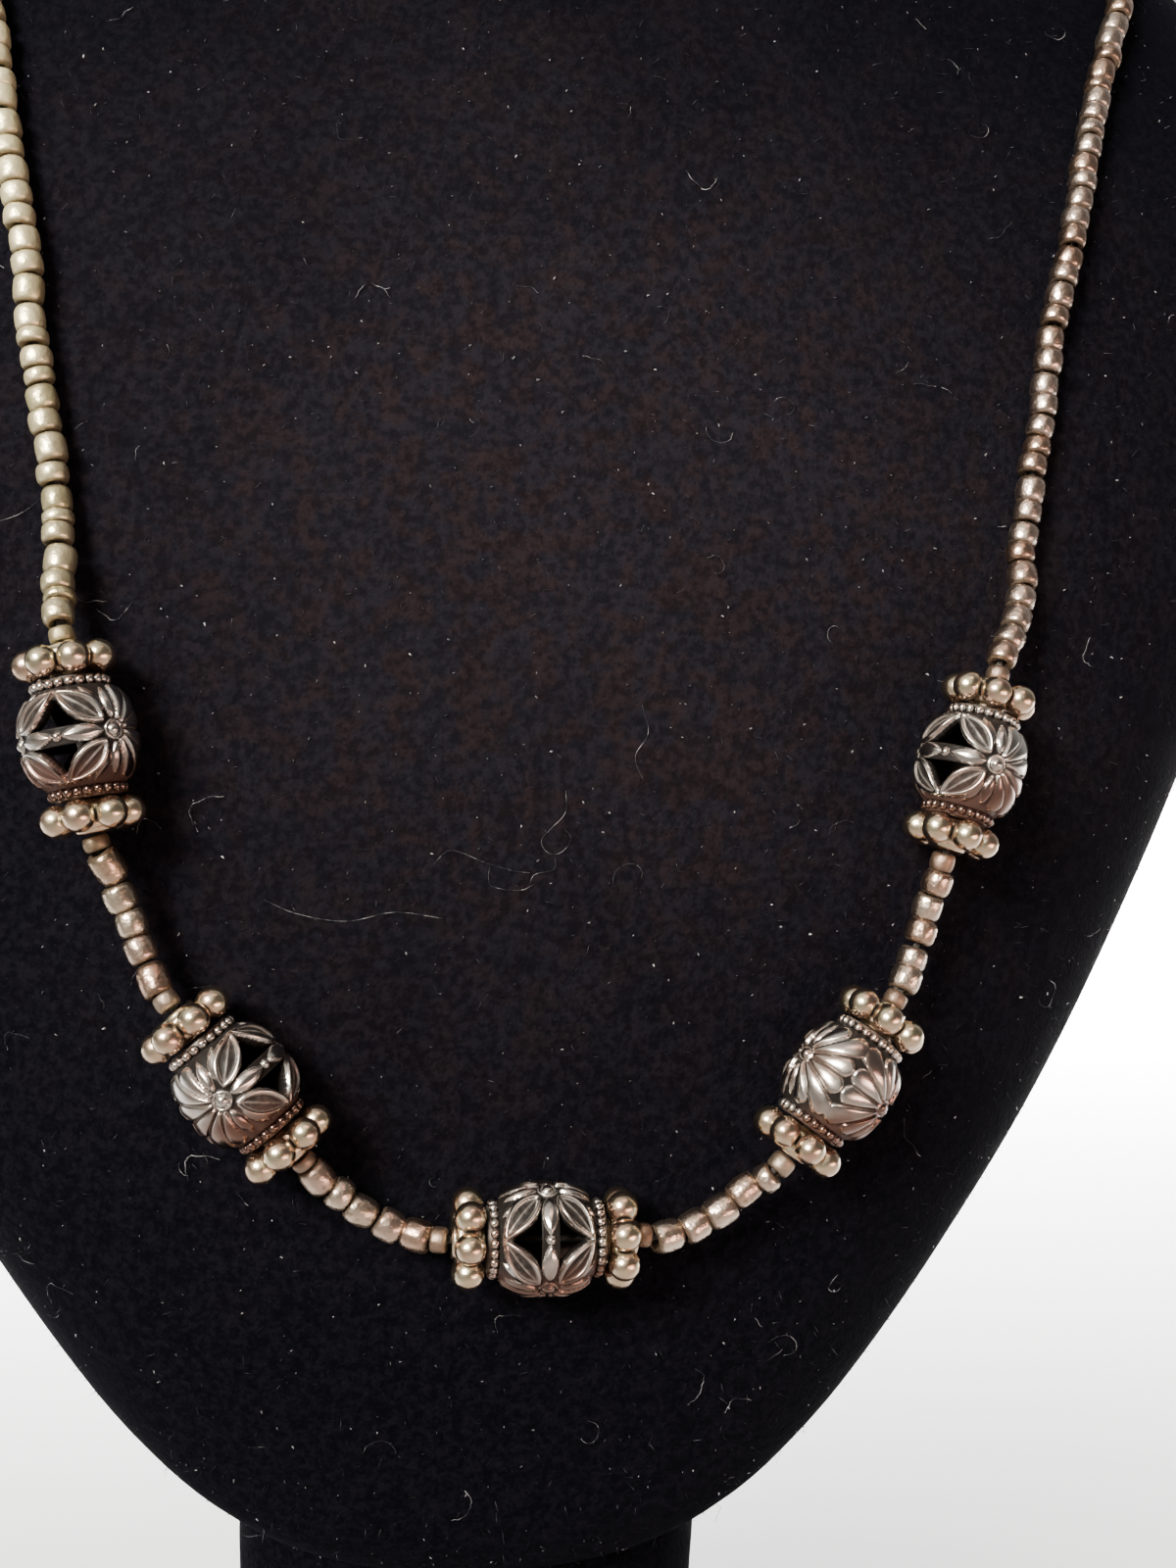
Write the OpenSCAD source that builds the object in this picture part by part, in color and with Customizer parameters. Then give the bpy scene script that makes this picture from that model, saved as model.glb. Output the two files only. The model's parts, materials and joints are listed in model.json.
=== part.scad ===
// Seed bead necklace with five pierced barrel beads, shown on a black velvet neck bust.
// Millimetres, +Z up, the bust faces -Y, and the origin is at the middle of the base.

/* [Barrel beads] */
// Length of a barrel bead between its two flat ends
barrel_len = 10.6; // [10.2:0.1:10.8]
// Widest diameter of the barrel's wall, without the raised flowers
barrel_d = 9.4; // [9.2:0.1:9.6]
// Thickness of the cast wall
barrel_wall = 0.8; // [0.6:0.1:1.1]
// Height of the raised petals over the wall
relief = 0.3; // [0.2:0.05:0.4]
// Small beads round each rim of a barrel
rim_beads = 22; // [18:1:26]
// Hole through barrels and spacers
bore_d = 1.4; // [1.2:0.1:1.8]

/* [Spacers] */
// Balls round each spacer
balls = 7; // [6:1:8]
// Diameter of one ball
ball_d = 2.9; // [2.8:0.05:3.1]
// Diameter of the circle through the balls' middles
ball_ring_d = 6.4; // [6.2:0.1:6.6]
// Length of the spacer's hub along the string
hub_len = 3.0; // [2.8:0.1:3.1]

/* [Strings] */
// Diameter of the seed beads
seed_d = 3.0; // [2.6:0.1:3.1]
// Diameter of the thread inside the beads
thread_d = 0.7; // [0.4:0.1:0.9]
// Space left between neighbouring beads along the string
bead_gap = 0.12; // [0.1:0.02:0.2]
// Space between the beads and the velvet
rest_gap = 0.35; // [0.35:0.05:0.6]
// Length of the plain clasp at the back of the neck
clasp_len = 13; // [11:0.5:14]
// Diameter of the clasp
clasp_d = 5.6; // [5:0.2:6.4]

/* [Neck bust] */
// Width of the oval base
base_w = 118; // [110:2:130]
// Depth of the oval base
base_depth = 86; // [82:2:100]
// Thickness of the oval base
base_h = 10; // [8:1:14]
// Width of the stem between base and chest
stem_w = 50; // [44:1:50]
// Depth of the stem
stem_depth = 30; // [26:1:30]

/* [Hidden] */

// Columns of a table of level sections: height, half width, place of the widest plane in Y,
// depth in front of that plane and depth behind it
Z = 0;
HALF = 1;
MID = 2;
FRONT = 3;
BACK = 4;

// Chest, shoulders and neck, from the low tip of the chest to the top of the neck
CHEST = [
    [49, 7, -31, 5, 4],
    [51.5, 19, -30, 9, 5],
    [56, 27.5, -29, 12.5, 6],
    [61, 34, -27, 15.5, 8],
    [68, 40.5, -25, 19, 10],
    [80, 49.5, -22, 24, 13],
    [96, 60.5, -18, 28, 17],
    [114, 70.5, -14, 31, 21],
    [134, 80, -10, 33, 25],
    [154, 88, -5, 34, 29],
    [174, 94, 0, 34, 32],
    [192, 97, 4, 33, 34],
    [206, 95, 8, 32, 35],
    [218, 87, 11, 32, 36],
    [229, 72, 13, 33, 37],
    [239, 59, 14, 35, 37],
    [252, 53, 15, 36, 36],
    [270, 51, 17, 35, 35],
    [284, 50, 19, 34, 34],
    [288.5, 47.5, 20, 31.5, 31.5],
    [290, 43, 20, 27, 27]];

// Stem, which flares out over the base and enters the chest as an even post
stem_top_z = 92;
stem_y = -18;
STEM = [
    [base_h, 45, -6, 35, 35],
    [base_h + 1.5, 43, -6.5, 33.5, 33],
    [base_h + 7, 35, -9, 27, 25],
    [base_h + 16, 28, -14, 19, 18],
    [base_h + 28, stem_w / 2, stem_y, stem_depth / 2, stem_depth / 2],
    [base_h + 36, stem_w / 2, stem_y, stem_depth / 2, stem_depth / 2],
    [stem_top_z, stem_w / 2, stem_y, stem_depth / 2, stem_depth / 2]];
stem_gap = 0.3;

// Oval base, rounded off along its upper edge
base_y = -7;
base_edge = 3;
function base_row(z, inset) = [z, base_w / 2 - inset, base_y, base_depth / 2 - inset, base_depth / 2 - inset];
BASE = concat([base_row(0, 1), base_row(1, 0), base_row(base_h - base_edge, 0)],
    [for (a = [22.5 : 22.5 : 90]) base_row(base_h - base_edge * (1 - sin(a)), base_edge * (1 - cos(a)))]);

// Power of the rounded oval that every section follows, 2 being an ellipse
squareness = 2.4;

// Columns of the table of barrel beads: middle seen from the front, lean of the bead's axis from
// upright, and turn of the flowers round that axis
BX = 0;
BZ = 1;
LEAN = 2;
TURN = 3;
BARRELS = [
    [-37.7, 132.6, -12, -65],
    [-23.6, 103.1, -40.5, 114],
    [3.3, 89.4, 90, -77],
    [30, 103.2, 35.5, 158],
    [42.2, 132.2, 17, -122]];
UPPER_LEFT = 0;
LOWER_LEFT = 1;
CENTRE = 2;
LOWER_RIGHT = 3;
UPPER_RIGHT = 4;

// Columns of a row that places a petal beside a flower's boss: angle round the bead, height,
// turn of the petal from the direction round the bead, length and width
P_ANGLE = 0;
P_Z = 1;
P_TURN = 2;
P_LEN = 3;
P_WIDTH = 4;
BROAD_PETAL = [31.5, 2.6, 48, 4.3, 1.9];
SIDE_PETAL = [34, 0, 0, 3.2, 1.2];
END_PETAL = [0, 2.6, 90, 2.8, 1];

// Routes over the chest, each point as [x, z] seen from the front
ROUTE_LEFT = [
    [-40.5, 146.5], [-41.5, 154], [-43, 161.5], [-44.5, 169], [-45.5, 176.5], [-47, 184],
    [-48.5, 191.5], [-50, 199], [-52, 206.5], [-54, 213.5]];
ROUTE_UPPER_LEFT = [[-34, 119.5], [-31.5, 113]];
ROUTE_LOWER_LEFT = [[-14.5, 93], [-9.5, 90]];
ROUTE_LOWER_RIGHT = [[16, 89.5], [21, 92.5]];
ROUTE_UPPER_RIGHT = [[37, 113.5], [38.5, 119]];
ROUTE_RIGHT = [
    [48.5, 147], [50, 154], [51.5, 161], [53, 168.5], [54.5, 176], [56.5, 183.5],
    [58.5, 191], [60.5, 198.5], [63, 206], [65.5, 212.5]];
// Routes round the neck to the clasp, each point as [angle round the neck, height]
ROUTE_NECK_LEFT = [
    [127.5, 220], [135, 225.5], [144, 230], [154, 233.5], [164, 236], [175, 238],
    [187, 239], [199, 240], [211, 240.5], [223, 241], [234, 241.5], [245, 242], [256, 242]];
ROUTE_NECK_RIGHT = [
    [42.5, 219], [35.5, 224], [26.5, 228.5], [16, 232], [5, 234.5], [-6, 236.5],
    [-18, 238], [-30, 239.5], [-42, 240.5], [-53, 241], [-64, 241.5], [-75, 242]];
clasp_z = 242;

barrel_half = barrel_len / 2;
band_half = 1;
rim_len = 0.75;
rim_r = 3.5;
rim_groove = 0.35;
collar_r = 2.95;
collar_len = 0.2;
petal_rise = relief + 0.15;
web_d = ball_ring_d - 1.7;
web_len = 2.1;
hub_d = 3.4;
// Flowers round a bead, and the places between them that are open, the third one being closed
FLOWERS = [0, 120, 240];
OPEN_SIDES = [60, 300];
boss_r = 0.8;
boss_sunk = 0.35;
knob_r = 0.4;
knob_sunk = 0.15;
opening_start = 2.4;
// Half of an opening's outline, each point as [distance round the bead, height]
OPENING = [[2.2, 0.8], [1.55, 1.7], [0.95, 2.35], [0.45, 3.05]];
shoulder_z = barrel_half - collar_len - rim_len;
barrel_lift = barrel_d / 2 + relief + rest_gap;
string_lift = seed_d / 2 + rest_gap;
bridge_lift = 4.6;
lift_step = 1.7;
reach = barrel_half + hub_len + 2 * bead_gap;

// Vectors
function unit(v) = v / norm(v);
function sign_pow(v, e) = sign(v) * pow(abs(v), e);

// Smooth value of a table's column at a height
function row_below(t, z, k = 0) = (k >= len(t) - 2 || z < t[k + 1][Z]) ? k : row_below(t, z, k + 1);
function slope(t, k, col) =
    let (a = t[max(k - 1, 0)], b = t[min(k + 1, len(t) - 1)])
    (b[col] - a[col]) / (b[Z] - a[Z]);
function section(t, z, col) =
    let (k = row_below(t, z), h = t[k + 1][Z] - t[k][Z], s = (z - t[k][Z]) / h)
    (2 * s ^ 3 - 3 * s ^ 2 + 1) * t[k][col] + (3 * s ^ 2 - 2 * s ^ 3) * t[k + 1][col]
    + h * (s ^ 3 - 2 * s ^ 2 + s) * slope(t, k, col) + h * (s ^ 3 - s ^ 2) * slope(t, k + 1, col);

// Point of a section's outline, where angle 0 is the +X side and 90 the front
function outline(t, angle, z, grow = 0) =
    let (depth = sin(angle) > 0 ? section(t, z, FRONT) : section(t, z, BACK))
    [(section(t, z, HALF) + grow) * sign_pow(cos(angle), 2 / squareness),
     section(t, z, MID) - (depth + grow) * sign_pow(sin(angle), 2 / squareness)];
function skin(t, angle, z) = let (p = outline(t, angle, z)) [p[0], p[1], z];
function skin_normal(t, angle, z) =
    unit(cross(skin(t, angle, z + 0.5) - skin(t, angle, z - 0.5),
               skin(t, angle + 0.5, z) - skin(t, angle - 0.5, z)));

// Places over the velvet
function chest_angle(x, z) = acos(sign_pow(x / section(CHEST, z, HALF), squareness / 2));
function over_velvet(angle, z, lift) = skin(CHEST, angle, z) + lift * skin_normal(CHEST, angle, z);
function over_chest(x, z, lift) = over_velvet(chest_angle(x, z), z, lift);
function chest_normal(x, z) = skin_normal(CHEST, chest_angle(x, z), z);

// Middle, axis and facing direction of a barrel bead
function middle(b) = over_chest(b[BX], b[BZ], barrel_lift);
function axis(b) =
    let (dx = reach * sin(b[LEAN]), dz = reach * cos(b[LEAN]))
    unit(over_chest(b[BX] + dx, b[BZ] + dz, barrel_lift) - over_chest(b[BX] - dx, b[BZ] - dz, barrel_lift));
function facing(b) = let (a = axis(b), n = chest_normal(b[BX], b[BZ])) unit(n - (n * a) * a);
function hub_end(b, side) = middle(b) + side * reach * axis(b);

// Height of the string over the velvet as it comes down from a barrel bead
function lift_after(k) = max(string_lift, barrel_lift - lift_step * (k + 1));

// Solid through rings of points, one ring after the other, closed by flat ends
module swept(points, sides) {
    last = len(points) / sides - 1;
    walls = [for (k = [0 : last - 1], i = [0 : sides - 1])
        let (a = k * sides + i, b = k * sides + (i + 1) % sides)
        each [[a, b, b + sides], [a, b + sides, a + sides]]];
    bottom = [for (i = [0 : sides - 1]) sides - 1 - i];
    top = [for (i = [0 : sides - 1]) last * sides + i];
    polyhedron(points = points, faces = concat([bottom], walls, [top]), convexity = 6);
}

// Solid with level oval sections
module loft(t, sides, levels) {
    swept([for (z = levels, i = [0 : sides - 1]) skin(t, 360 * i / sides, z)], sides);
}

// Heights that crowd towards both ends
function crowded(low, high, steps) = [for (k = [0 : steps]) (low + high - (high - low) * cos(180 * k / steps)) / 2];

// The same heights with one more between each pair from low to high
function closer(levels, low, high) = [for (k = [0 : len(levels) - 1])
    each (k > 0 && levels[k] > low && levels[k - 1] < high)
        ? [(levels[k - 1] + levels[k]) / 2, levels[k]] : [levels[k]]];

module bust_form() {
    chest_z = CHEST[0][Z];
    neck_z = CHEST[len(CHEST) - 1][Z];
    shoulder_z = 222;
    nape_z = 256;
    color([0.03, 0.03, 0.05])
    difference() {
        loft(CHEST, 56, closer(crowded(chest_z, neck_z, 38), shoulder_z, nape_z));
        translate([0, 0, chest_z - 10])
        linear_extrude(stem_top_z + stem_gap - chest_z + 10)
        polygon([for (i = [0 : 39]) outline(STEM, 9 * i, stem_top_z, stem_gap)]);
    }
}

module bust_stem() {
    flare = [for (k = [0 : 8]) base_h + 36 * k / 8];
    color([0.04, 0.04, 0.06])
    loft(STEM, 40, concat(flare, [stem_top_z]));
}

module bust_base() {
    color([0.03, 0.03, 0.05])
    loft(BASE, 56, [for (row = BASE) row[Z]]);
}

// Puts a bead that stands on the Z axis where its row of the table says, its +X side facing out
module place(b) {
    a = axis(b);
    f = facing(b);
    s = cross(a, f);
    m = middle(b);
    multmatrix([[f[0], s[0], a[0], m[0]], [f[1], s[1], a[1], m[1]], [f[2], s[2], a[2], m[2]], [0, 0, 0, 1]])
    children();
}

// Capsule that gives the barrel its bulge, with a straight band round the middle
module bulge(grow) {
    for (s = [-1, 1]) translate([0, 0, s * band_half]) sphere(r = barrel_d / 2 + grow, $fn = 72);
    cylinder(r = barrel_d / 2 + grow, h = 2 * band_half, center = true, $fn = 72);
}

// Pointed oval petal: a lens that stands on edge in the wall, on one side of the boss and towards one end
module petal(p, side, end) {
    half_len = p[P_LEN] / 2;
    wall_r = barrel_d / 2;
    drop = wall_r - sqrt(wall_r ^ 2 - half_len ^ 2) + petal_rise;
    ridge_r = (half_len ^ 2 + drop ^ 2) / (2 * drop);
    side_r = (ridge_r ^ 2 + (p[P_WIDTH] / 2) ^ 2) / p[P_WIDTH];
    on_dome = max(0, p[P_Z] - band_half);
    rotate([0, 0, side * p[P_ANGLE]])
    translate([0, 0, end * min(p[P_Z], band_half)])
    rotate([0, -end * asin(on_dome / wall_r), 0])
    translate([wall_r + petal_rise - ridge_r, 0, 0])
    rotate([side * end * p[P_TURN], 0, 0])
    intersection() {
        translate([0, 0, side_r - p[P_WIDTH] / 2]) sphere(r = side_r, $fn = 96);
        translate([0, 0, p[P_WIDTH] / 2 - side_r]) sphere(r = side_r, $fn = 96);
    }
}

// One flower: a boss, four broad petals on the diagonals, two slim ones round the bead and two along it
module flower() {
    for (side = [-1, 1], end = [-1, 1]) petal(BROAD_PETAL, side, end);
    for (s = [-1, 1]) {
        petal(SIDE_PETAL, s, 1);
        petal(END_PETAL, 1, s);
    }
    translate([barrel_d / 2 - boss_sunk, 0, 0]) sphere(r = boss_r, $fn = 32);
}

// Opening beside the place where two flowers meet, as a wedge that narrows towards the rim
module opening(side) {
    last = len(OPENING) - 1;
    mirrored = [for (k = [last : -1 : 0]) [-OPENING[k][0], OPENING[k][1]]];
    translate([opening_start, 0, 0])
    rotate([90, 0, 90])
    linear_extrude(barrel_d / 2)
    polygon([for (p = concat(OPENING, mirrored)) [p[0], side * p[1]]]);
}

// Ring of small beads, drawn as a lobed disc
module rim() {
    steps = 4 * rim_beads;
    linear_extrude(rim_len)
    polygon([for (i = [0 : steps - 1]) let (a = 360 * i / steps, lobe = abs(sin(rim_beads * a / 2)))
        (rim_r - rim_groove + rim_groove * lobe) * [cos(a), sin(a)]]);
}

module barrel_bead() {
    difference() {
        union() {
            intersection() {
                bulge(0);
                cylinder(r = barrel_d, h = 2 * shoulder_z, center = true);
            }
            for (t = FLOWERS) {
                rotate([0, 0, t]) flower();
                rotate([0, 0, t + 60]) translate([barrel_d / 2 - knob_sunk, 0, 0]) sphere(r = knob_r, $fn = 24);
            }
            for (s = [0, 1]) mirror([0, 0, s]) {
                translate([0, 0, shoulder_z - 0.05]) rim();
                translate([0, 0, shoulder_z - 0.5]) cylinder(r = collar_r, h = rim_len + collar_len + 0.5, $fn = 48);
            }
        }
        for (t = OPEN_SIDES, s = [-1, 1]) rotate([0, 0, t]) opening(s);
        intersection() {
            bulge(-barrel_wall);
            cylinder(r = barrel_d, h = 2 * shoulder_z - 1, center = true);
        }
        cylinder(d = bore_d, h = barrel_len + 2, center = true, $fn = 32);
    }
}

module spacer() {
    difference() {
        union() {
            for (i = [0 : balls - 1])
                rotate([0, 0, 360 * i / balls]) translate([ball_ring_d / 2, 0, 0]) sphere(d = ball_d, $fn = 32);
            cylinder(d = web_d, h = web_len, center = true, $fn = 48);
            cylinder(d = hub_d, h = hub_len, center = true, $fn = 48);
        }
        cylinder(d = bore_d, h = hub_len + 2, center = true, $fn = 32);
    }
}

// One spacer of a barrel bead, on the side of the bead's upper or right end (1) or the other (-1)
module placed_spacer(b, side) {
    color([0.78, 0.72, 0.58])
    place(b) translate([0, 0, side * (barrel_half + bead_gap + hub_len / 2)])
    rotate([0, 0, 13 + 17 * side]) spacer();
}

module placed_barrel(b) {
    color([0.55, 0.54, 0.52]) place(b) rotate([0, 0, b[TURN]]) barrel_bead();
}

// Round string of beads swept along points, each with the direction that it runs in and a side direction
module bead_string(points, first_dir, last_dir, outward) {
    sides = 8;
    n = len(points);
    dirs = [for (k = [0 : n - 1])
        k == 0 ? first_dir : k == n - 1 ? last_dir : unit(points[k + 1] - points[k - 1])];
    ring_points = [for (k = [0 : n - 1], i = [0 : sides - 1])
        let (u = unit(outward[k] - (outward[k] * dirs[k]) * dirs[k]), v = cross(dirs[k], u), a = 360 * (i + 0.5) / sides)
        points[k] + seed_d / 2 * (cos(a) * u + sin(a) * v)];
    color([0.72, 0.62, 0.5]) swept(ring_points, sides);
}

// Short string that bridges two barrel beads
module bridge_string(from, from_side, to, to_side, route) {
    points = concat([hub_end(from, from_side)],
        [for (p = route) over_chest(p[0], p[1], bridge_lift)],
        [hub_end(to, to_side)]);
    outward = concat([facing(from)], [for (p = route) chest_normal(p[0], p[1])], [facing(to)]);
    bead_string(points, from_side * axis(from), -to_side * axis(to), outward);
}

// Long string from an upper barrel bead over the shoulder to the clasp
module neck_string(from, route, neck_route, clasp_side) {
    clasp_end = over_velvet(270, clasp_z, clasp_d / 2 + rest_gap)
        + [clasp_side * (clasp_len / 2 + bead_gap), 0, 0];
    points = concat([hub_end(from, 1)],
        [for (k = [0 : len(route) - 1]) over_chest(route[k][0], route[k][1], lift_after(k))],
        [for (p = neck_route) over_velvet(p[0], p[1], string_lift)],
        [clasp_end]);
    outward = concat([facing(from)],
        [for (p = route) chest_normal(p[0], p[1])],
        [for (p = neck_route) skin_normal(CHEST, p[0], p[1])],
        [[0, 1, 0]]);
    bead_string(points, axis(from), [-clasp_side, 0, 0], outward);
}

module thread() {
    color([0.85, 0.85, 0.82])
    for (b = BARRELS) place(b) cylinder(d = thread_d, h = 2 * (reach - 0.1), center = true, $fn = 24);
}

module clasp() {
    half = clasp_len / 2;
    tip_r = 1.7;
    edge = 0.4;
    outline = [[tip_r, half], [tip_r, half - 0.8], [clasp_d / 2 - edge, half - 2.4], [clasp_d / 2, half - 3.4]];
    last = len(outline) - 1;
    color([0.72, 0.68, 0.6])
    translate(over_velvet(270, clasp_z, clasp_d / 2 + rest_gap))
    rotate([0, 90, 0])
    rotate_extrude($fn = 48)
    polygon(concat([[0, half]], outline, [for (k = [last : -1 : 0]) [outline[k][0], -outline[k][1]]], [[0, -half]]));
}

bust_form();
bust_stem();
bust_base();
placed_barrel(BARRELS[UPPER_LEFT]);  // barrel_upper_left
placed_barrel(BARRELS[LOWER_LEFT]);  // barrel_lower_left
placed_barrel(BARRELS[CENTRE]);  // barrel_centre
placed_barrel(BARRELS[LOWER_RIGHT]);  // barrel_lower_right
placed_barrel(BARRELS[UPPER_RIGHT]);  // barrel_upper_right
placed_spacer(BARRELS[UPPER_LEFT], 1);  // spacer_upper_left_top
placed_spacer(BARRELS[UPPER_LEFT], -1);  // spacer_upper_left_bottom
placed_spacer(BARRELS[LOWER_LEFT], 1);  // spacer_lower_left_top
placed_spacer(BARRELS[LOWER_LEFT], -1);  // spacer_lower_left_bottom
placed_spacer(BARRELS[CENTRE], -1);  // spacer_centre_left
placed_spacer(BARRELS[CENTRE], 1);  // spacer_centre_right
placed_spacer(BARRELS[LOWER_RIGHT], -1);  // spacer_lower_right_bottom
placed_spacer(BARRELS[LOWER_RIGHT], 1);  // spacer_lower_right_top
placed_spacer(BARRELS[UPPER_RIGHT], -1);  // spacer_upper_right_bottom
placed_spacer(BARRELS[UPPER_RIGHT], 1);  // spacer_upper_right_top
neck_string(BARRELS[UPPER_LEFT], ROUTE_LEFT, ROUTE_NECK_LEFT, -1);  // string_neck_left
bridge_string(BARRELS[UPPER_LEFT], -1, BARRELS[LOWER_LEFT], 1, ROUTE_UPPER_LEFT);  // string_upper_left
bridge_string(BARRELS[LOWER_LEFT], -1, BARRELS[CENTRE], -1, ROUTE_LOWER_LEFT);  // string_lower_left
bridge_string(BARRELS[CENTRE], 1, BARRELS[LOWER_RIGHT], -1, ROUTE_LOWER_RIGHT);  // string_lower_right
bridge_string(BARRELS[LOWER_RIGHT], 1, BARRELS[UPPER_RIGHT], -1, ROUTE_UPPER_RIGHT);  // string_upper_right
neck_string(BARRELS[UPPER_RIGHT], ROUTE_RIGHT, ROUTE_NECK_RIGHT, 1);  // string_neck_right
thread();
clasp();
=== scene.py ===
import json
import math
import random

import bpy
import numpy as np
from bpy.props import FloatProperty, FloatVectorProperty, IntProperty, PointerProperty
from mathutils import Matrix, Vector

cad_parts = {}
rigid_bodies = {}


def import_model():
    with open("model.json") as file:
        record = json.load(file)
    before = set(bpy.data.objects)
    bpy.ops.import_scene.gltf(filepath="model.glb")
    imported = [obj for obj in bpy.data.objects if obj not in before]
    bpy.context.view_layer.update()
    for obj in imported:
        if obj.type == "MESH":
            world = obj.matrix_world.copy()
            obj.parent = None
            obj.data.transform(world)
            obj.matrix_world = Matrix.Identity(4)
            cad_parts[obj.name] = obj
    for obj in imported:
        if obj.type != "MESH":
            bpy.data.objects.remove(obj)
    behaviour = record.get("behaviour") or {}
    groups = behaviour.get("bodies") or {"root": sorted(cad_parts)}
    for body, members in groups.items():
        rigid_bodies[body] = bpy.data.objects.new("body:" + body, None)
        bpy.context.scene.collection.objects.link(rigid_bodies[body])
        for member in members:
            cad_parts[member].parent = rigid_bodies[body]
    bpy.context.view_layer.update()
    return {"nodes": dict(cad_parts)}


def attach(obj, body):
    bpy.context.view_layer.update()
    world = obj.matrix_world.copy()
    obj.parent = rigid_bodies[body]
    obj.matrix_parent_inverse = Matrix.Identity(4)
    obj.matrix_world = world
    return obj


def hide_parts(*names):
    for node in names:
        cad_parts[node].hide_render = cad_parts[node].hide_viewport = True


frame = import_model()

bl_info = {
    "name": "Seed Bead Necklace on a Neck Bust",
    "version": (1, 0, 0),
    "blender": (4, 5, 0),
    "location": "View3D > Sidebar > Necklace",
    "description": "Dresses the necklace and its velvet bust with cast beads, seed beads, thread and pile",
    "category": "Add Mesh",
}

MM = 0.001
BODY = "root"

# Level sections of the bust, in metres: height, half width, place of the widest plane in Y,
# depth in front of that plane and depth behind it
CHEST = (
    (0.049, 0.007, -0.031, 0.005, 0.004), (0.0515, 0.019, -0.030, 0.009, 0.005),
    (0.056, 0.0275, -0.029, 0.0125, 0.006), (0.061, 0.034, -0.027, 0.0155, 0.008),
    (0.068, 0.0405, -0.025, 0.019, 0.010), (0.080, 0.0495, -0.022, 0.024, 0.013),
    (0.096, 0.0605, -0.018, 0.028, 0.017), (0.114, 0.0705, -0.014, 0.031, 0.021),
    (0.134, 0.080, -0.010, 0.033, 0.025), (0.154, 0.088, -0.005, 0.034, 0.029),
    (0.174, 0.094, 0.0, 0.034, 0.032), (0.192, 0.097, 0.004, 0.033, 0.034),
    (0.206, 0.095, 0.008, 0.032, 0.035), (0.218, 0.087, 0.011, 0.032, 0.036),
    (0.229, 0.072, 0.013, 0.033, 0.037), (0.239, 0.059, 0.014, 0.035, 0.037),
    (0.252, 0.053, 0.015, 0.036, 0.036), (0.270, 0.051, 0.017, 0.035, 0.035),
    (0.284, 0.050, 0.019, 0.034, 0.034), (0.2885, 0.0475, 0.020, 0.0315, 0.0315),
    (0.290, 0.043, 0.020, 0.027, 0.027))
STEM = (
    (0.010, 0.045, -0.006, 0.035, 0.035), (0.0115, 0.043, -0.0065, 0.0335, 0.033),
    (0.017, 0.035, -0.009, 0.027, 0.025), (0.026, 0.028, -0.014, 0.019, 0.018),
    (0.038, 0.025, -0.018, 0.015, 0.015), (0.046, 0.025, -0.018, 0.015, 0.015),
    (0.092, 0.025, -0.018, 0.015, 0.015))
BASE_HEIGHT = 0.010
BASE_EDGE = 0.003
BASE_HALF = 0.059
BASE_MIDDLE = -0.007
BASE_DEPTH = 0.043
FLARE_HEIGHT = 0.036
STEM_TOP = 0.092
POCKET_GAP = 0.0003
# Rounding of every level section: 2 gives an ellipse and more a squarer one
SQUARENESS = 2.4

# Barrel beads from the upper left to the upper right: middle seen from the front, lean of the axis
# from upright and turn of the flowers
BARRELS = {
    "upper_left": (-0.0377, 0.1326, -12, -65),
    "lower_left": (-0.0236, 0.1031, -40.5, 114),
    "centre": (0.0033, 0.0894, 90, -77),
    "lower_right": (0.030, 0.1032, 35.5, 158),
    "upper_right": (0.0422, 0.1322, 17, -122),
}
# Spacers at the ends of each barrel bead: node, bead and side of the bead's axis
SPACERS = (
    ("upper_left_top", "upper_left", 1), ("upper_left_bottom", "upper_left", -1),
    ("lower_left_top", "lower_left", 1), ("lower_left_bottom", "lower_left", -1),
    ("centre_left", "centre", -1), ("centre_right", "centre", 1),
    ("lower_right_bottom", "lower_right", -1), ("lower_right_top", "lower_right", 1),
    ("upper_right_bottom", "upper_right", -1), ("upper_right_top", "upper_right", 1))

# Routes over the chest as (x, z), and round the neck as (angle, z)
ROUTE_LEFT = (
    (-0.0405, 0.1465), (-0.0415, 0.154), (-0.043, 0.1615), (-0.0445, 0.169), (-0.0455, 0.1765),
    (-0.047, 0.184), (-0.0485, 0.1915), (-0.050, 0.199), (-0.052, 0.2065), (-0.054, 0.2135))
ROUTE_RIGHT = (
    (0.0485, 0.147), (0.050, 0.154), (0.0515, 0.161), (0.053, 0.1685), (0.0545, 0.176),
    (0.0565, 0.1835), (0.0585, 0.191), (0.0605, 0.1985), (0.063, 0.206), (0.0655, 0.2125))
ROUTE_NECK_LEFT = (
    (127.5, 0.220), (135, 0.2255), (144, 0.230), (154, 0.2335), (164, 0.236), (175, 0.238), (187, 0.239),
    (199, 0.240), (211, 0.2405), (223, 0.241), (234, 0.2415), (245, 0.242), (256, 0.242))
ROUTE_NECK_RIGHT = (
    (42.5, 0.219), (35.5, 0.224), (26.5, 0.2285), (16, 0.232), (5, 0.2345), (-6, 0.2365),
    (-18, 0.238), (-30, 0.2395), (-42, 0.2405), (-53, 0.241), (-64, 0.2415), (-75, 0.242))
# Short strings: bead and side where each starts, bead and side where it ends, and the route between them
BRIDGES = {
    "upper_left": ("upper_left", -1, "lower_left", 1, ((-0.034, 0.1195), (-0.0315, 0.113))),
    "lower_left": ("lower_left", -1, "centre", -1, ((-0.0145, 0.093), (-0.0095, 0.090))),
    "lower_right": ("centre", 1, "lower_right", -1, ((0.016, 0.0895), (0.021, 0.0925))),
    "upper_right": ("lower_right", 1, "upper_right", -1, ((0.037, 0.1135), (0.0385, 0.119))),
}
CLASP_Z = 0.242
CLASP_LENGTH = 0.013
CLASP_WIDTH = 0.0056

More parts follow.
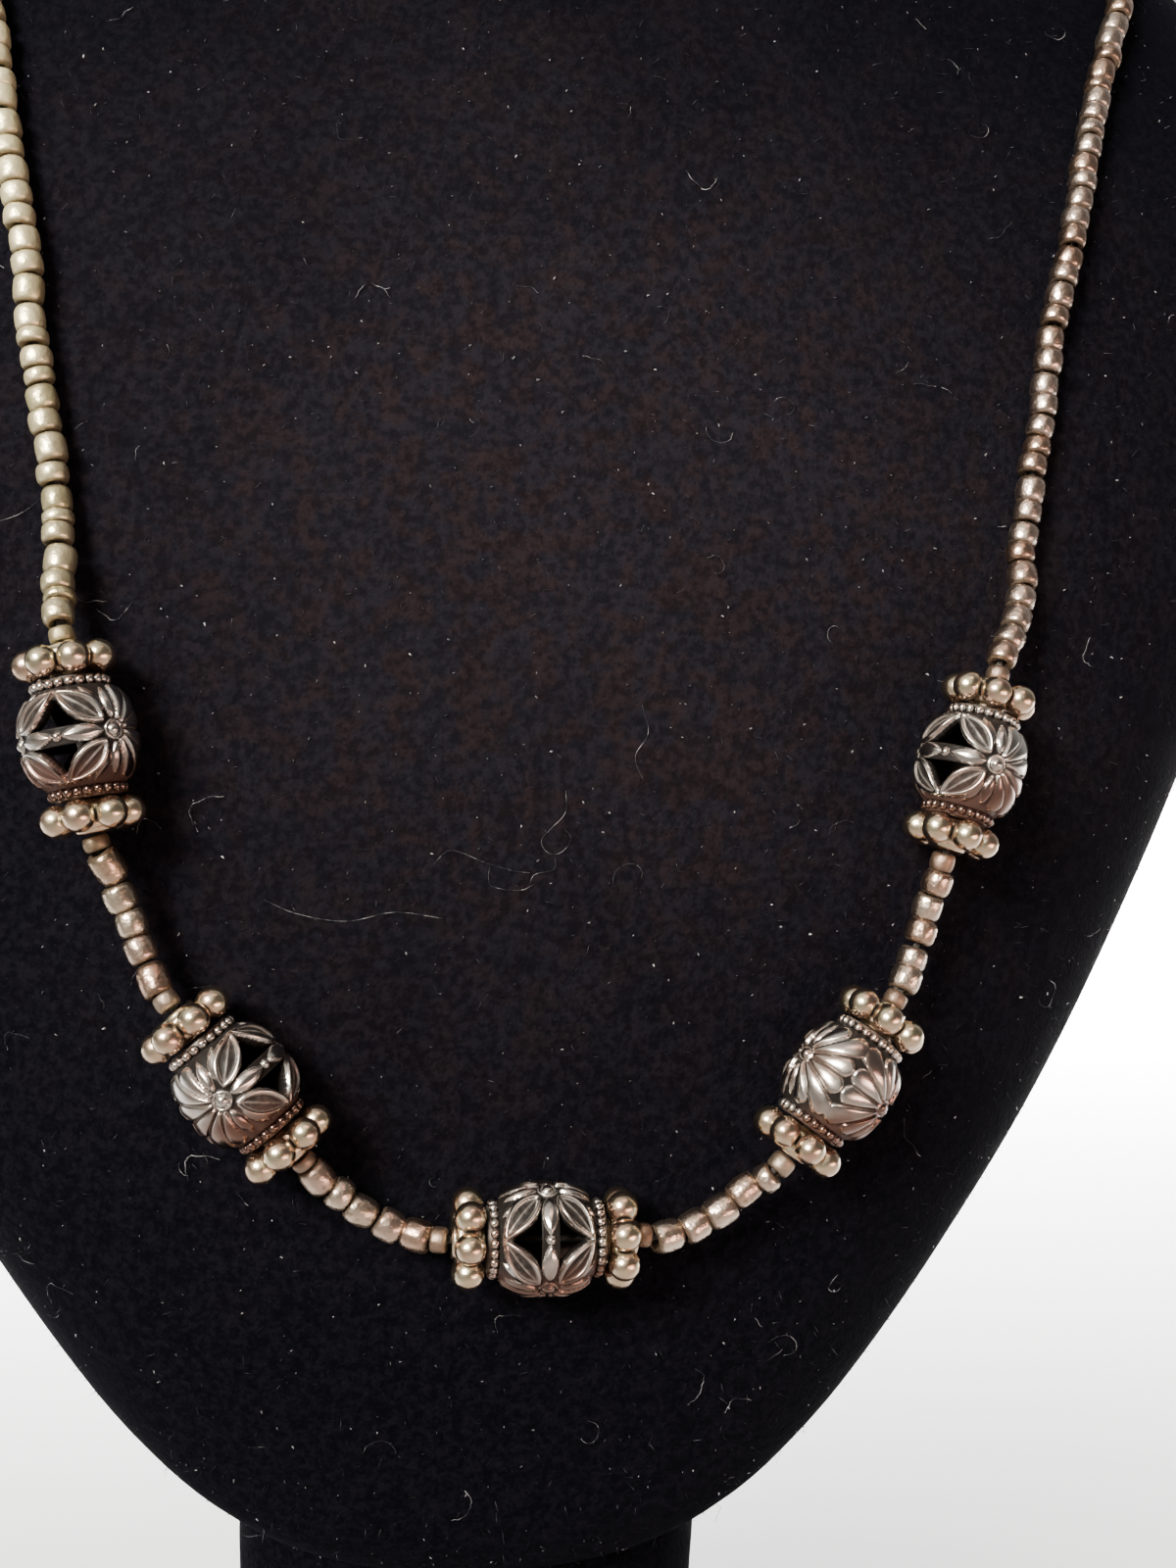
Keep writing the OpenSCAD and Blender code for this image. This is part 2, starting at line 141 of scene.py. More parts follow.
# Sizes of the beads and the gaps between them, in metres
BARREL_HALF = 0.0053
BARREL_RADIUS = 0.0047
BAND_HALF = 0.001
SHOULDER = 0.00435
WALL = 0.0008
HUB_LENGTH = 0.003
BEAD_GAP = 0.00012
REST_GAP = 0.00035
SEED_WIDTH = 0.003
RELIEF = 0.0003
REACH = BARREL_HALF + HUB_LENGTH + 2 * BEAD_GAP
# Heights over the velvet. A long string starts at its barrel bead's height and comes down to its own by one
# step at each point of its route.
BARREL_LIFT = BARREL_RADIUS + RELIEF + REST_GAP
STRING_LIFT = SEED_WIDTH / 2 + REST_GAP
BRIDGE_LIFT = 0.0046
LIFT_STEP = 0.0017
# Underside of a bead, a little to the right, whose faces get a browner painted shade and warm reflection
SHADED_SIDE = Vector((0.2, 0.0, -0.98))

# Area lights: place, point that it faces, width, height, setting of its power, colour and spread in degrees
LAMPS = {
    "window_light": ((-0.40, -0.52, 0.52), (0.0, 0.0, 0.22), 0.34, 0.30, "key_power", (1.0, 0.96, 0.87), 40),
    "rose_fill": ((0.34, -0.44, 0.03), (0.0, -0.05, 0.10), 0.5, 0.16, "rose_power", (1.0, 0.6, 0.47), 60),
    "warm_floor": ((0.05, -0.26, 0.40), (0.04, -0.24, 0.0), 0.3, 0.2, "fill_power", (1.0, 0.62, 0.50), 64),
    "back_light": ((0.28, 0.98, 0.6), (0.28, 1.0, 0.0), 1.6, 1.3, "back_power", (1.0, 1.0, 1.0), 90),
}
# The camera, fitted to the chest's outline in the photo
CAMERA_PLACE = Vector((-0.01518, -0.20134, 0.14394))
CAMERA_LOOK = Vector((0.1386, 0.9865, -0.0872))
CAMERA_ROLL = 2
CAMERA_FIELD = 49
CAMERA_SENSOR = 36


# Forms of the bust

def signed_power(value, exponent=2 / SQUARENESS):
    return math.copysign(abs(value) ** exponent, value)


def oval(angle, half_width, middle, depth, z):
    """Point of a level, rounded oval, at an angle in degrees from +X through the front."""
    a = math.radians(angle)
    return Vector((half_width * signed_power(math.cos(a)), middle - depth * signed_power(math.sin(a)), z))


def smooth_weights(s):
    """Weights of the start, the end and the slopes at both, for a share of the way between them."""
    return 2 * s ** 3 - 3 * s ** 2 + 1, 3 * s ** 2 - 2 * s ** 3, s ** 3 - 2 * s ** 2 + s, s ** 3 - s ** 2


class RoundedForm:
    """A form with level, rounded oval sections through a table."""

    def __init__(self, rows):
        self.rows = rows

    def slope(self, k, column):
        low, high = self.rows[max(k - 1, 0)], self.rows[min(k + 1, len(self.rows) - 1)]
        return (high[column] - low[column]) / (high[0] - low[0])

    def value(self, z, column):
        rows = self.rows
        k = 0
        while k < len(rows) - 2 and z >= rows[k + 1][0]:
            k += 1
        h = rows[k + 1][0] - rows[k][0]
        start, end, leave, arrive = smooth_weights((z - rows[k][0]) / h)
        return (start * rows[k][column] + end * rows[k + 1][column]
                + h * leave * self.slope(k, column) + h * arrive * self.slope(k + 1, column))

    def skin(self, angle, z, grow=0.0):
        depth = self.value(z, 3 if math.sin(math.radians(angle)) > 0 else 4) + grow
        return oval(angle, self.value(z, 1) + grow, self.value(z, 2), depth, z)

    def normal(self, angle, z):
        up = self.skin(angle, z + 0.5 * MM) - self.skin(angle, z - 0.5 * MM)
        along = self.skin(angle + 0.5, z) - self.skin(angle - 0.5, z)
        return up.cross(along).normalized()

    def over(self, angle, z, lift):
        return self.skin(angle, z) + lift * self.normal(angle, z)

    def angle_at(self, x, z):
        return math.degrees(math.acos(signed_power(x / self.value(z, 1), SQUARENESS / 2)))

    def over_front(self, x, z, lift):
        return self.over(self.angle_at(x, z), z, lift)


chest = RoundedForm(CHEST)
stem = RoundedForm(STEM)


class Placed:
    """Place of a barrel bead: its middle, its axis and the side that faces out."""

    def __init__(self, name):
        x, z, lean, self.turn = BARRELS[name]
        dx, dz = REACH * math.sin(math.radians(lean)), REACH * math.cos(math.radians(lean))
        self.middle = chest.over_front(x, z, BARREL_LIFT)
        self.axis = (chest.over_front(x + dx, z + dz, BARREL_LIFT)
                     - chest.over_front(x - dx, z - dz, BARREL_LIFT)).normalized()
        outward = chest.normal(chest.angle_at(x, z), z)
        self.facing = (outward - outward.dot(self.axis) * self.axis).normalized()

    def matrix(self, along=0.0, turn=0.0):
        side = self.axis.cross(self.facing)
        place = Matrix((self.facing, side, self.axis)).transposed().to_4x4()
        place.translation = self.middle + along * self.axis
        return place @ Matrix.Rotation(math.radians(turn), 4, "Z")

    def hub_end(self, side):
        return self.middle + side * REACH * self.axis


def flowing(points, first, last, step=0.8 * MM):
    """Points along a smooth line through the given ones, which starts and ends in the given directions."""
    line = []
    count = len(points)
    for k in range(count - 1):
        a, b = points[k], points[k + 1]
        length = (b - a).length
        leave = first if k == 0 else (b - points[k - 1]).normalized()
        arrive = last if k == count - 2 else (points[k + 2] - a).normalized()
        pieces = max(1, round(length / step))
        for i in range(pieces):
            at_a, at_b, leaving, arriving = smooth_weights(i / pieces)
            line.append(at_a * a + at_b * b + length * leaving * leave + length * arriving * arrive)
    line.append(points[-1].copy())
    return line


def neck_line(bead, route, neck_route, clasp_side):
    start = Placed(bead)
    end = chest.over(270, CLASP_Z, CLASP_WIDTH / 2 + REST_GAP)
    end += Vector((clasp_side * (CLASP_LENGTH / 2 + BEAD_GAP), 0, 0))
    points = [start.hub_end(1)]
    points += [chest.over_front(x, z, max(STRING_LIFT, BARREL_LIFT - LIFT_STEP * (k + 1)))
               for k, (x, z) in enumerate(route)]
    points += [chest.over(angle, z, STRING_LIFT) for angle, z in neck_route]
    return flowing(points + [end], start.axis, Vector((-clasp_side, 0, 0)))


def bridge_line(name):
    first, first_side, last, last_side, route = BRIDGES[name]
    a, b = Placed(first), Placed(last)
    points = [a.hub_end(first_side)] + [chest.over_front(x, z, BRIDGE_LIFT) for x, z in route]
    return flowing(points + [b.hub_end(last_side)], first_side * a.axis, -last_side * b.axis)


def string_lines():
    """Every string of seed beads by the name of its node."""
    lines = {"string_neck_left": neck_line("upper_left", ROUTE_LEFT, ROUTE_NECK_LEFT, -1),
             "string_neck_right": neck_line("upper_right", ROUTE_RIGHT, ROUTE_NECK_RIGHT, 1)}
    for name in BRIDGES:
        lines["string_" + name] = bridge_line(name)
    return lines


# Meshes

def new_object(name, data):
    """Object in the scene that holds a mesh, a light or a camera."""
    made = bpy.data.objects.new(name, data)
    bpy.context.scene.collection.objects.link(made)
    return made


def new_piece(name, vertices, faces, edges=()):
    """Smooth mesh object in the scene, with its place in its mesh."""
    mesh = bpy.data.meshes.new(name)
    mesh.from_pydata([tuple(v) for v in vertices], [tuple(e) for e in edges], [tuple(f) for f in faces])
    mesh.validate()
    mesh.shade_smooth()
    return new_object(name, mesh)


def round_z(angle, radius=1.0, z=0.0):
    """Point at an angle in radians round Z."""
    return Vector((radius * math.cos(angle), radius * math.sin(angle), z))


def turns(count):
    """Angles in radians of points that are spread evenly round a circle."""
    return [math.tau * i / count for i in range(count)]


def mirrored(lower, *middle):
    """Profile of (radius, height) points from a lower half, whose heights are given without their sign."""
    return [(r, -h) for r, h in lower] + list(middle) + [(r, h) for r, h in reversed(lower)]


def ring_faces(rings, sides, start=0, closed=False):
    """Quads between rings of points that follow each other, outwards for rings that turn left round their
    line."""
    faces = []
    for k in range(rings if closed else rings - 1):
        a, b = start + k * sides, start + (k + 1) % rings * sides
        for i in range(sides):
            j = (i + 1) % sides
            faces.append((a + i, a + j, b + j, b + i))
    return faces


def capped(rings):
    """Vertices and faces of a form through rings of points, closed at both ends."""
    sides = len(rings[0])
    vertices = [point for ring in rings for point in ring]
    faces = ring_faces(len(rings), sides)
    faces.append(tuple(range(sides - 1, -1, -1)))
    faces.append(tuple(range(len(vertices) - sides, len(vertices))))
    return vertices, faces


def swept_tube(line, radius, sides):
    """Vertices and faces of a closed round tube along a line."""
    rings = []
    normal = Vector((0.3, -0.9, 0.2))
    last = len(line) - 1
    for k, point in enumerate(line):
        direction = (line[min(k + 1, last)] - line[max(k - 1, 0)]).normalized()
        normal = (normal - normal.dot(direction) * direction).normalized()
        side = direction.cross(normal)
        rings.append([point + radius * (math.cos(a) * normal + math.sin(a) * side) for a in turns(sides)])
    return capped(rings)


def turned_mesh(profile, sides, closed=False):
    """Vertices and faces of a shape turned round Z through (radius, height) points."""
    vertices = [round_z(a, r, z) for r, z in profile for a in turns(sides)]
    return vertices, ring_faces(len(profile), sides, closed=closed)


def joined(parts):
    """One list of vertices and faces out of several."""
    vertices, faces = [], []
    for part_vertices, part_faces in parts:
        shift = len(vertices)
        vertices += part_vertices
        faces += [tuple(shift + i for i in face) for face in part_faces]
    return vertices, faces


def ball(centre, radius, sides, rows):
    """Vertices and faces of a round ball with closed poles."""
    vertices = [centre + Vector((0, 0, -radius))]
    for k in range(1, rows):
        a = math.pi * k / rows
        vertices += [centre + radius * round_z(b, math.sin(a), -math.cos(a)) for b in turns(sides)]
    vertices.append(centre + Vector((0, 0, radius)))
    faces = ring_faces(rows - 1, sides, 1)
    top = len(vertices) - 1
    for i in range(sides):
        j = (i + 1) % sides
        faces.append((0, 1 + j, 1 + i))
        faces.append((top, top - sides + i, top - sides + j))
    return vertices, faces


def add_values(piece, name, values):
    """One number for each vertex, which the materials read by name."""
    layer = piece.data.attributes.new(name, "FLOAT", "POINT")
    layer.data.foreach_set("value", np.asarray(values, dtype=np.float32))


def apply_modifiers(piece):
    """Turns the piece and its modifiers into one plain mesh."""
    graph = bpy.context.evaluated_depsgraph_get()
    evaluated = piece.evaluated_get(graph)
    mesh = bpy.data.meshes.new_from_object(evaluated, preserve_all_data_layers=True, depsgraph=graph)
    piece.modifiers.clear()
    piece.data = mesh


def combine(piece, operation, **others):
    """Joins other closed shapes to a piece, or cuts them from it."""
    change = piece.modifiers.new("Combine", "BOOLEAN")
    change.operation = operation
    change.solver = "EXACT"
    for name, value in others.items():
        setattr(change, name, value)
    apply_modifiers(piece)
    if not piece.data.polygons:
        raise RuntimeError(piece.name + " came out empty")


def seat(piece, material, slot, *nodes):
    """Puts a finished piece on the bust's body in place of its nodes."""
    if not any(m == material for m in piece.data.materials):
        piece.data.materials.clear()
        piece.data.materials.append(material)
    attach(piece, BODY)
    if nodes:
        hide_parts(*nodes)


def smooth_rise(x, low, high):
    t = np.clip((x - low) / (high - low), 0, 1)
    return t * t * (3 - 2 * t)


def dome(distance, size):
    """Height of a round dome one unit high, at a distance from its middle."""
    return np.sqrt(np.maximum(1 - (distance / size) ** 2, 0))


# Node trees

class Field:
    """Output socket of a node, on which Python's own operators add Math nodes."""

    def __init__(self, tree, socket):
        self.tree = tree
        self.socket = socket

    def maths(self, operation, *values):
        return add_node(self.tree, "ShaderNodeMath", {"operation": operation}, dict(enumerate(values)))

    def __add__(self, other):
        return self.maths("ADD", self, other)

    def __radd__(self, other):
        return self.maths("ADD", other, self)

    def __sub__(self, other):
        return self.maths("SUBTRACT", self, other)

    def __rsub__(self, other):
        return self.maths("SUBTRACT", other, self)

    def __mul__(self, other):
        return self.maths("MULTIPLY", self, other)

    def __rmul__(self, other):
        return self.maths("MULTIPLY", other, self)

    def __truediv__(self, other):
        return self.maths("DIVIDE", self, other)

    def __pow__(self, other):
        return self.maths("POWER", self, other)

    def above(self, other):
        return self.maths("GREATER_THAN", self, other)

    def below(self, other):
        return self.maths("LESS_THAN", self, other)

    def most(self, other):
        return self.maths("MAXIMUM", self, other)

    def rise(self, low, high):
        return add_node(self.tree, "ShaderNodeMapRange", {"interpolation_type": "SMOOTHSTEP"},
                        {"Value": self, "From Min": low, "From Max": high})

    def output(self, name):
        node = self.socket.node
        return Field(self.tree, next(s for s in node.outputs if s.name == name and s.enabled))


def add_node(tree, kind, settings=None, inputs=None):
    """Adds a node, sets it up, fills or links its sockets and returns its first live output."""
    node = tree.nodes.new(kind)
    for name, value in (settings or {}).items():
        setattr(node, name, value)
    for name, value in (inputs or {}).items():
        socket = node.inputs[name] if isinstance(name, int) else next(
            s for s in node.inputs if s.name == name and s.enabled)
        if isinstance(value, Field):
            tree.links.new(value.socket, socket)
        elif value is not None:
            socket.default_value = value
    live = [s for s in node.outputs if s.enabled]
    return Field(tree, live[0]) if live else node


def mixed(low, high, factor, tree):
    """Colour between two others, each a field or a red, a green and a blue."""
    low, high = (shade if isinstance(shade, Field) else (*shade, 1) for shade in (low, high))
    mix = add_node(tree, "ShaderNodeMix", {"data_type": "RGBA"}, {0: factor, 6: low, 7: high})
    return mix.output("Result")


def parted(tree, vector):
    """X, Y and Z of a vector."""
    parts = add_node(tree, "ShaderNodeSeparateXYZ", {}, {0: vector})
    return [parts.output(axis) for axis in "XYZ"]


class Finish:
    """A material with one Principled shader, and helpers for what drives its sockets."""

    def __init__(self, name, fixed):
        self.material = bpy.data.materials.new(name)
        self.material.use_nodes = True
        self.tree = self.material.node_tree
        self.shader = next(n for n in self.tree.nodes if n.type == "BSDF_PRINCIPLED")
        for socket, value in fixed.items():
            self.shader.inputs[socket].default_value = value

    def place(self):
        return add_node(self.tree, "ShaderNodeTexCoord").output("Object")

    def noise(self, scale, detail=3.0, roughness=0.5):
        inputs = {"Vector": self.place(), "Scale": scale, "Detail": detail, "Roughness": roughness}
        return add_node(self.tree, "ShaderNodeTexNoise", {}, inputs)

    def attribute(self, name):
        return add_node(self.tree, "ShaderNodeAttribute", {"attribute_name": name}).output("Fac")

    def mix(self, low, high, factor):
        return mixed(low, high, factor, self.tree)

    def bump(self, height, strength, distance, under=None):
        return add_node(self.tree, "ShaderNodeBump", {},
                        {"Height": height, "Strength": strength, "Distance": distance, "Normal": under})

    def drive(self, **links):
        for name, value in links.items():
            self.tree.links.new(value.socket, self.shader.inputs[name.replace("_", " ")])
        return self.material


class Grower:
    """A Geometry Nodes tree with named inputs, which is put on an object and then made its plain mesh."""

    def __init__(self, name, inputs):
        self.tree = bpy.data.node_groups.new(name, "GeometryNodeTree")
        face = self.tree.interface
        face.new_socket("Geometry", in_out="INPUT", socket_type="NodeSocketGeometry")
        self.sockets = {}
        for label, kind in inputs.items():
            self.sockets[label] = face.new_socket(label, in_out="INPUT", socket_type="NodeSocket" + kind)
        face.new_socket("Geometry", in_out="OUTPUT", socket_type="NodeSocketGeometry")
        self.start = self.tree.nodes.new("NodeGroupInput")

    def given(self, label):
        return Field(self.tree, self.start.outputs[label])

    def node(self, kind, settings=None, inputs=None):
        return add_node(self.tree, kind, settings, inputs)

    def chance(self, low, high, seed):
        """Random number between two numbers, or random vector between two vectors."""
        kind = "FLOAT_VECTOR" if isinstance(low, tuple) else "FLOAT"
        return self.node("FunctionNodeRandomValue", {"data_type": kind},
                         {"Min": low, "Max": high, "Seed": seed})

    def spun(self, aligned, lean, seed):
        """A rotation with a random turn round its own Z and a small lean to any side."""
        spin = self.chance((-lean, -lean, 0), (lean, lean, math.tau), seed)
        turn = self.node("FunctionNodeEulerToRotation", {}, {0: spin})
        return self.node("FunctionNodeRotateRotation", {"rotation_space": "LOCAL"},
                         {"Rotation": aligned, "Rotate By": turn})

    def stored(self, geometry, name, value):
        """Instances with one number each, which the materials read by name."""
        return self.node("GeometryNodeStoreNamedAttribute", {"data_type": "FLOAT", "domain": "INSTANCE"},
                         {"Geometry": geometry, "Name": name, "Value": value})

    def finish(self, geometry, material):
        real = self.node("GeometryNodeRealizeInstances", {}, {"Geometry": geometry})
        smooth = self.node("GeometryNodeSetShadeSmooth", {}, {"Geometry": real})
        done = self.node("GeometryNodeSetMaterial", {}, {"Geometry": smooth, "Material": material})
        self.node("NodeGroupOutput", {}, {"Geometry": done})

    def grow(self, piece, values):
        modifier = piece.modifiers.new(self.tree.name, "NODES")
        modifier.node_group = self.tree
        for label, value in values.items():
            modifier[self.sockets[label].identifier] = value
        apply_modifiers(piece)


# Finishes

# Middle of the painted pool of light on the velvet of the chest, as (x, z)
PAINTED_LIGHT_MIDDLE = (0.008, 0.152)
# Colours that the panel doesn't set
# Painted shade: the pile darker towards the top of the chest
VELVET_PAINTED_SHADE = (0.0009, 0.0009, 0.0019)
# Bluish pile of the painted pool of light in the middle of the chest
PAINTED_LIGHT_BLUE = (0.0115, 0.0104, 0.0145)
# Painted shade and warm reflection in the hollows of a barrel bead's underside
PAINTED_UNDERSIDE_ROSE = (0.080, 0.043, 0.035)
GILT_TARNISH = (0.022, 0.016, 0.011)
SEED_JOINT = (0.10, 0.07, 0.045)
SEED_WEAR = (0.17, 0.115, 0.07)
# Pale yellow of the painted light on the left neck strand
SEED_PAINTED_LIGHT = (0.92, 0.81, 0.46)
THREAD_SHADES = ((0.02, 0.016, 0.013), (0.07, 0.058, 0.046))
LINT_SHADES = ((0.03, 0.032, 0.04), (0.62, 0.62, 0.64))
NAP_SHADES = ((0.010, 0.010, 0.014), (0.16, 0.16, 0.185))
FLOOR_PALE = (0.68, 0.68, 0.675)
SKY_FRONT = (0.26, 0.245, 0.235)
SKY_WINDOW = (2.3, 2.2, 1.95)
SKY_BEHIND = (1.4, 1.4, 1.4)


def velvet_finish(settings):
    finish = Finish("black_velvet", {
        "Roughness": 0.95, "Specular IOR Level": 0.03, "Sheen Weight": settings.sheen, "Sheen Roughness": 0.4,
        "Sheen Tint": (0.6, 0.6, 0.9, 1)})
    pile = finish.noise(2600, 2)
    clumps = finish.noise(1100, 4, 0.65)
    brushed = finish.noise(60, 4, 0.6)
    tint = finish.noise(340, 3, 0.6)
    x, _, z = parted(finish.tree, finish.place())
    across, up = x - PAINTED_LIGHT_MIDDLE[0], z - PAINTED_LIGHT_MIDDLE[1]
    middle = (across * across * 0.8 + up * up) ** 0.5 + (brushed - 0.5) * 0.05
    ground = finish.mix(settings.pile_dark, settings.pile_light, (pile * 0.3 + clumps * 0.7).rise(0.40, 0.66))
    # Painted shade, darker towards the top of the chest
    ground = finish.mix(ground, VELVET_PAINTED_SHADE, z.rise(0.16, 0.225) * 0.68)
    # Painted light: a lighter pool of warm and bluish pile in the middle of the chest
    rubbed = finish.mix(settings.pile_painted_light, PAINTED_LIGHT_BLUE, tint.rise(0.36, 0.60))
    painted_light_share = (1 - middle.rise(0.0, 0.08)) * (0.38 + clumps.rise(0.38, 0.64) * 0.48)
    nap = finish.bump(pile, 0.5, 0.0003)
    nap = finish.bump(clumps, 0.3, 0.0007, nap)
    return finish.drive(Base_Color=finish.mix(ground, rubbed, painted_light_share), Normal=nap)


def cast_silver_finish(settings):
    finish = Finish("antique_silver", {"IOR": 1.45, "Specular IOR Level": 0.12})
    fine = finish.noise(2200, 3, 0.6)
    broad = finish.noise(240, 3, 0.55)
    high = (finish.attribute("relief") + (fine - 0.5) * 0.3 + (broad - 0.5) * 0.25).rise(0.15, 0.85)
    # Painted shade and warm reflection on the underside, over the raised metal and the tarnished hollows
    under = (finish.attribute("shaded") + (broad - 0.5) * 0.4).rise(0.0, 0.5)
    worn_and_shaded = finish.mix(settings.silver, settings.silver_warm, broad.rise(0.40, 0.64))
    worn_and_shaded = finish.mix(worn_and_shaded, settings.painted_underside_brown, under * 0.9)
    dark = finish.mix(settings.tarnish, PAINTED_UNDERSIDE_ROSE, under * 0.75)
    shade = finish.mix(dark, worn_and_shaded, high ** 1.3)
    dull = 0.36 - high * 0.15 + (fine - 0.5) * 0.14
    dents = finish.bump(finish.noise(1400, 3, 0.5), 0.16, 0.00012)
    return finish.drive(Base_Color=shade, Metallic=high, Roughness=dull, Normal=dents)


def gilt_finish(settings, name="pale_gilt"):
    finish = Finish(name, {"IOR": 1.5})
    crevice = finish.attribute("crevice")
    patches = finish.noise(420, 3, 0.6)
    fine = finish.noise(2600, 2)
    # Painted shade and warm reflection: each ball's underside takes the rose of the rubbed patches
    under = finish.attribute("shaded").rise(-0.15, 0.75) * 0.85
    worn_and_shaded = finish.mix(settings.gilt, settings.rubbed_and_shaded_gilt, patches.rise(0.40, 0.68).most(under))
    dark = (crevice + (patches - 0.5) * 0.3).rise(0.1, 0.75)
    shade = finish.mix(worn_and_shaded, GILT_TARNISH, dark)
    dull = 0.17 + patches * 0.12 + crevice * 0.25
    dents = finish.bump(patches * 0.7 + fine * 0.3, 0.25, 0.0003)
    return finish.drive(Base_Color=shade, Metallic=1 - dark * 0.5, Roughness=dull, Normal=dents)


def seed_finish(settings):
    finish = Finish("metallic_seed", {"IOR": 1.5})
    tone = finish.attribute("tone")
    rim = finish.attribute("rim")
    dulled = finish.attribute("dulled")
    x, _, z = parted(finish.tree, finish.place())
    # Rose towards the right and along the lowest beads, and painted light on the left neck strand, which
    # turns it pale yellow, less metallic and rougher
    side = x.rise(-0.05, 0.06).most((1 - z.rise(0.112, 0.136)) * 0.8)
    painted_light_strand = (1 - x.rise(-0.056, -0.034)) * z.rise(0.128, 0.15)
    patches = finish.noise(900, 3, 0.6)
    gold = finish.mix(settings.gold, settings.olive, tone.rise(0.35, 1.0))
    rose = finish.mix(settings.rose, settings.copper, tone.rise(0.3, 1.0))
    shade = finish.mix(gold, rose, (side + (tone - 0.5) * 0.4).rise(0.1, 0.9))
    shade = finish.mix(shade, SEED_JOINT, (rim.rise(0.25, 0.9) * 0.9).most(dulled * 0.6))
    shade = finish.mix(shade, SEED_WEAR, patches.rise(0.56, 0.72) * 0.55)
    # Painted light on the left neck strand, paler, less metallic and rougher
    shade = finish.mix(shade, SEED_PAINTED_LIGHT, painted_light_strand * (0.95 - tone * 0.35) * (1 - rim * 0.7))
    metal = (1 - rim.rise(0.5, 1.0) * 0.4) * (1 - painted_light_strand * 0.55)
    dull = 0.20 + patches * 0.16 + dulled * 0.2 + painted_light_strand * 0.16
    dents = finish.bump(finish.noise(480, 3, 0.55), 0.45, 0.0007)
    return finish.drive(Base_Color=shade, Metallic=metal, Roughness=dull, Normal=dents)


def thread_finish():
    finish = Finish("spun_thread", {"Roughness": 0.8, "Sheen Weight": 0.2})
    strands = finish.noise(4200, 2)
    shade = finish.mix(*THREAD_SHADES, strands.rise(0.35, 0.65))
    return finish.drive(Base_Color=shade, Normal=finish.bump(strands, 0.5, 0.0001))


def lint_finish():
    finish = Finish("pale_lint", {"Roughness": 0.85, "Specular IOR Level": 0.2})
    return finish.drive(Base_Color=finish.mix(*LINT_SHADES, finish.noise(700, 2).rise(0.44, 0.8)))


def nap_finish():
    finish = Finish("pile_tips", {"Roughness": 0.9, "Specular IOR Level": 0.15})
    return finish.drive(Base_Color=finish.mix(*NAP_SHADES, finish.noise(900, 1).rise(0.45, 0.8)))


def floor_finish(settings):
    finish = Finish("pale_floor", {"Roughness": 0.75, "Specular IOR Level": 0.2})
    return finish.drive(Base_Color=finish.mix(settings.floor, FLOOR_PALE, finish.noise(6, 2).rise(0.3, 0.7)))


# Sizes and colours

def amount(name, description, default, **limits):
    return FloatProperty(name=name, description=description, default=default, min=0, **limits)


def whole(name, description, default, low, high):
    return IntProperty(name=name, description=description, default=default, min=low, max=high)


def length(name, description, default, low, high):
    return FloatProperty(name=name, description=description, default=default, min=low, max=high,
                         subtype="DISTANCE", unit="LENGTH", precision=5)


def colour(name, description, default):
    return FloatVectorProperty(name=name, description=description, default=default, min=0, max=1,
                               subtype="COLOR")


class VelvetSettings(bpy.types.PropertyGroup):
    pile_dark: colour("Pile", "Colour of the velvet in its hollows", (0.0015, 0.0015, 0.0028))
    pile_light: colour("Pile Tips", "Colour of the velvet where the pile catches light",
                       (0.0050, 0.0048, 0.0076))
    # Colour of the painted pool of light in the middle of the chest
    pile_painted_light: colour("Rubbed Pile", "Colour of the rubbed velvet in the middle of the chest",
                      (0.0165, 0.0110, 0.0120))
    sheen: amount("Sheen", "Strength of the pile's sheen", 0.008, max=1, subtype="FACTOR")
    sides: whole("Sides", "Points round each section of the bust", 176, 48, 256)
    nap_density: amount("Nap Density", "Standing fibres for each square metre", 160000, max=400000)
    nap_length: length("Nap Length", "Length of a standing fibre", 0.0007, 0.0002, 0.002)
    speck_density: amount("Speck Density", "Specks of lint for each square metre", 80000, max=90000)


class BarrelSettings(bpy.types.PropertyGroup):
    petal_height: length("Petal Height", "Height of the cast petals over the wall", 0.00045, 0.0002, 0.0006)
    columns: whole("Columns", "Points round a barrel bead, in three equal parts", 288, 96, 360)
    rows: whole("Rows", "Rows of points between a barrel bead's shoulders", 92, 32, 120)
    rim_beads: whole("Rim Beads", "Small beads round each rim", 22, 12, 30)
    silver: colour("Silver", "Colour of the raised metal", (0.66, 0.615, 0.565))
    silver_warm: colour("Warm Silver", "Colour of the metal where it is rubbed", (0.53, 0.415, 0.36))
    # Painted shade and warm reflection on the raised metal of a bead's underside
    painted_underside_brown: colour("Brown Silver", "Colour of the raised metal on a bead's underside", (0.155, 0.080, 0.060))
    tarnish: colour("Tarnish", "Colour of the darkened hollows", (0.014, 0.0115, 0.0105))


class SpacerSettings(bpy.types.PropertyGroup):
    balls: whole("Balls", "Balls round a spacer", 7, 5, 9)
    ball_width: length("Ball Width", "Width of one ball", 0.0029, 0.002, 0.0035)
    ring_width: length("Ring Width", "Width of the circle through the balls' middles", 0.0064, 0.005, 0.008)
    hub_width: length("Hub Width", "Width of the hub", 0.0034, 0.002, 0.005)
    gilt: colour("Gilt", "Colour of the polished balls", (0.80, 0.69, 0.47))
    # Colour of the rubbed patches, also painted on each ball's underside as shade and warm reflection
    rubbed_and_shaded_gilt: colour("Rose Gilt", "Colour of the rubbed balls", (0.66, 0.44, 0.33))


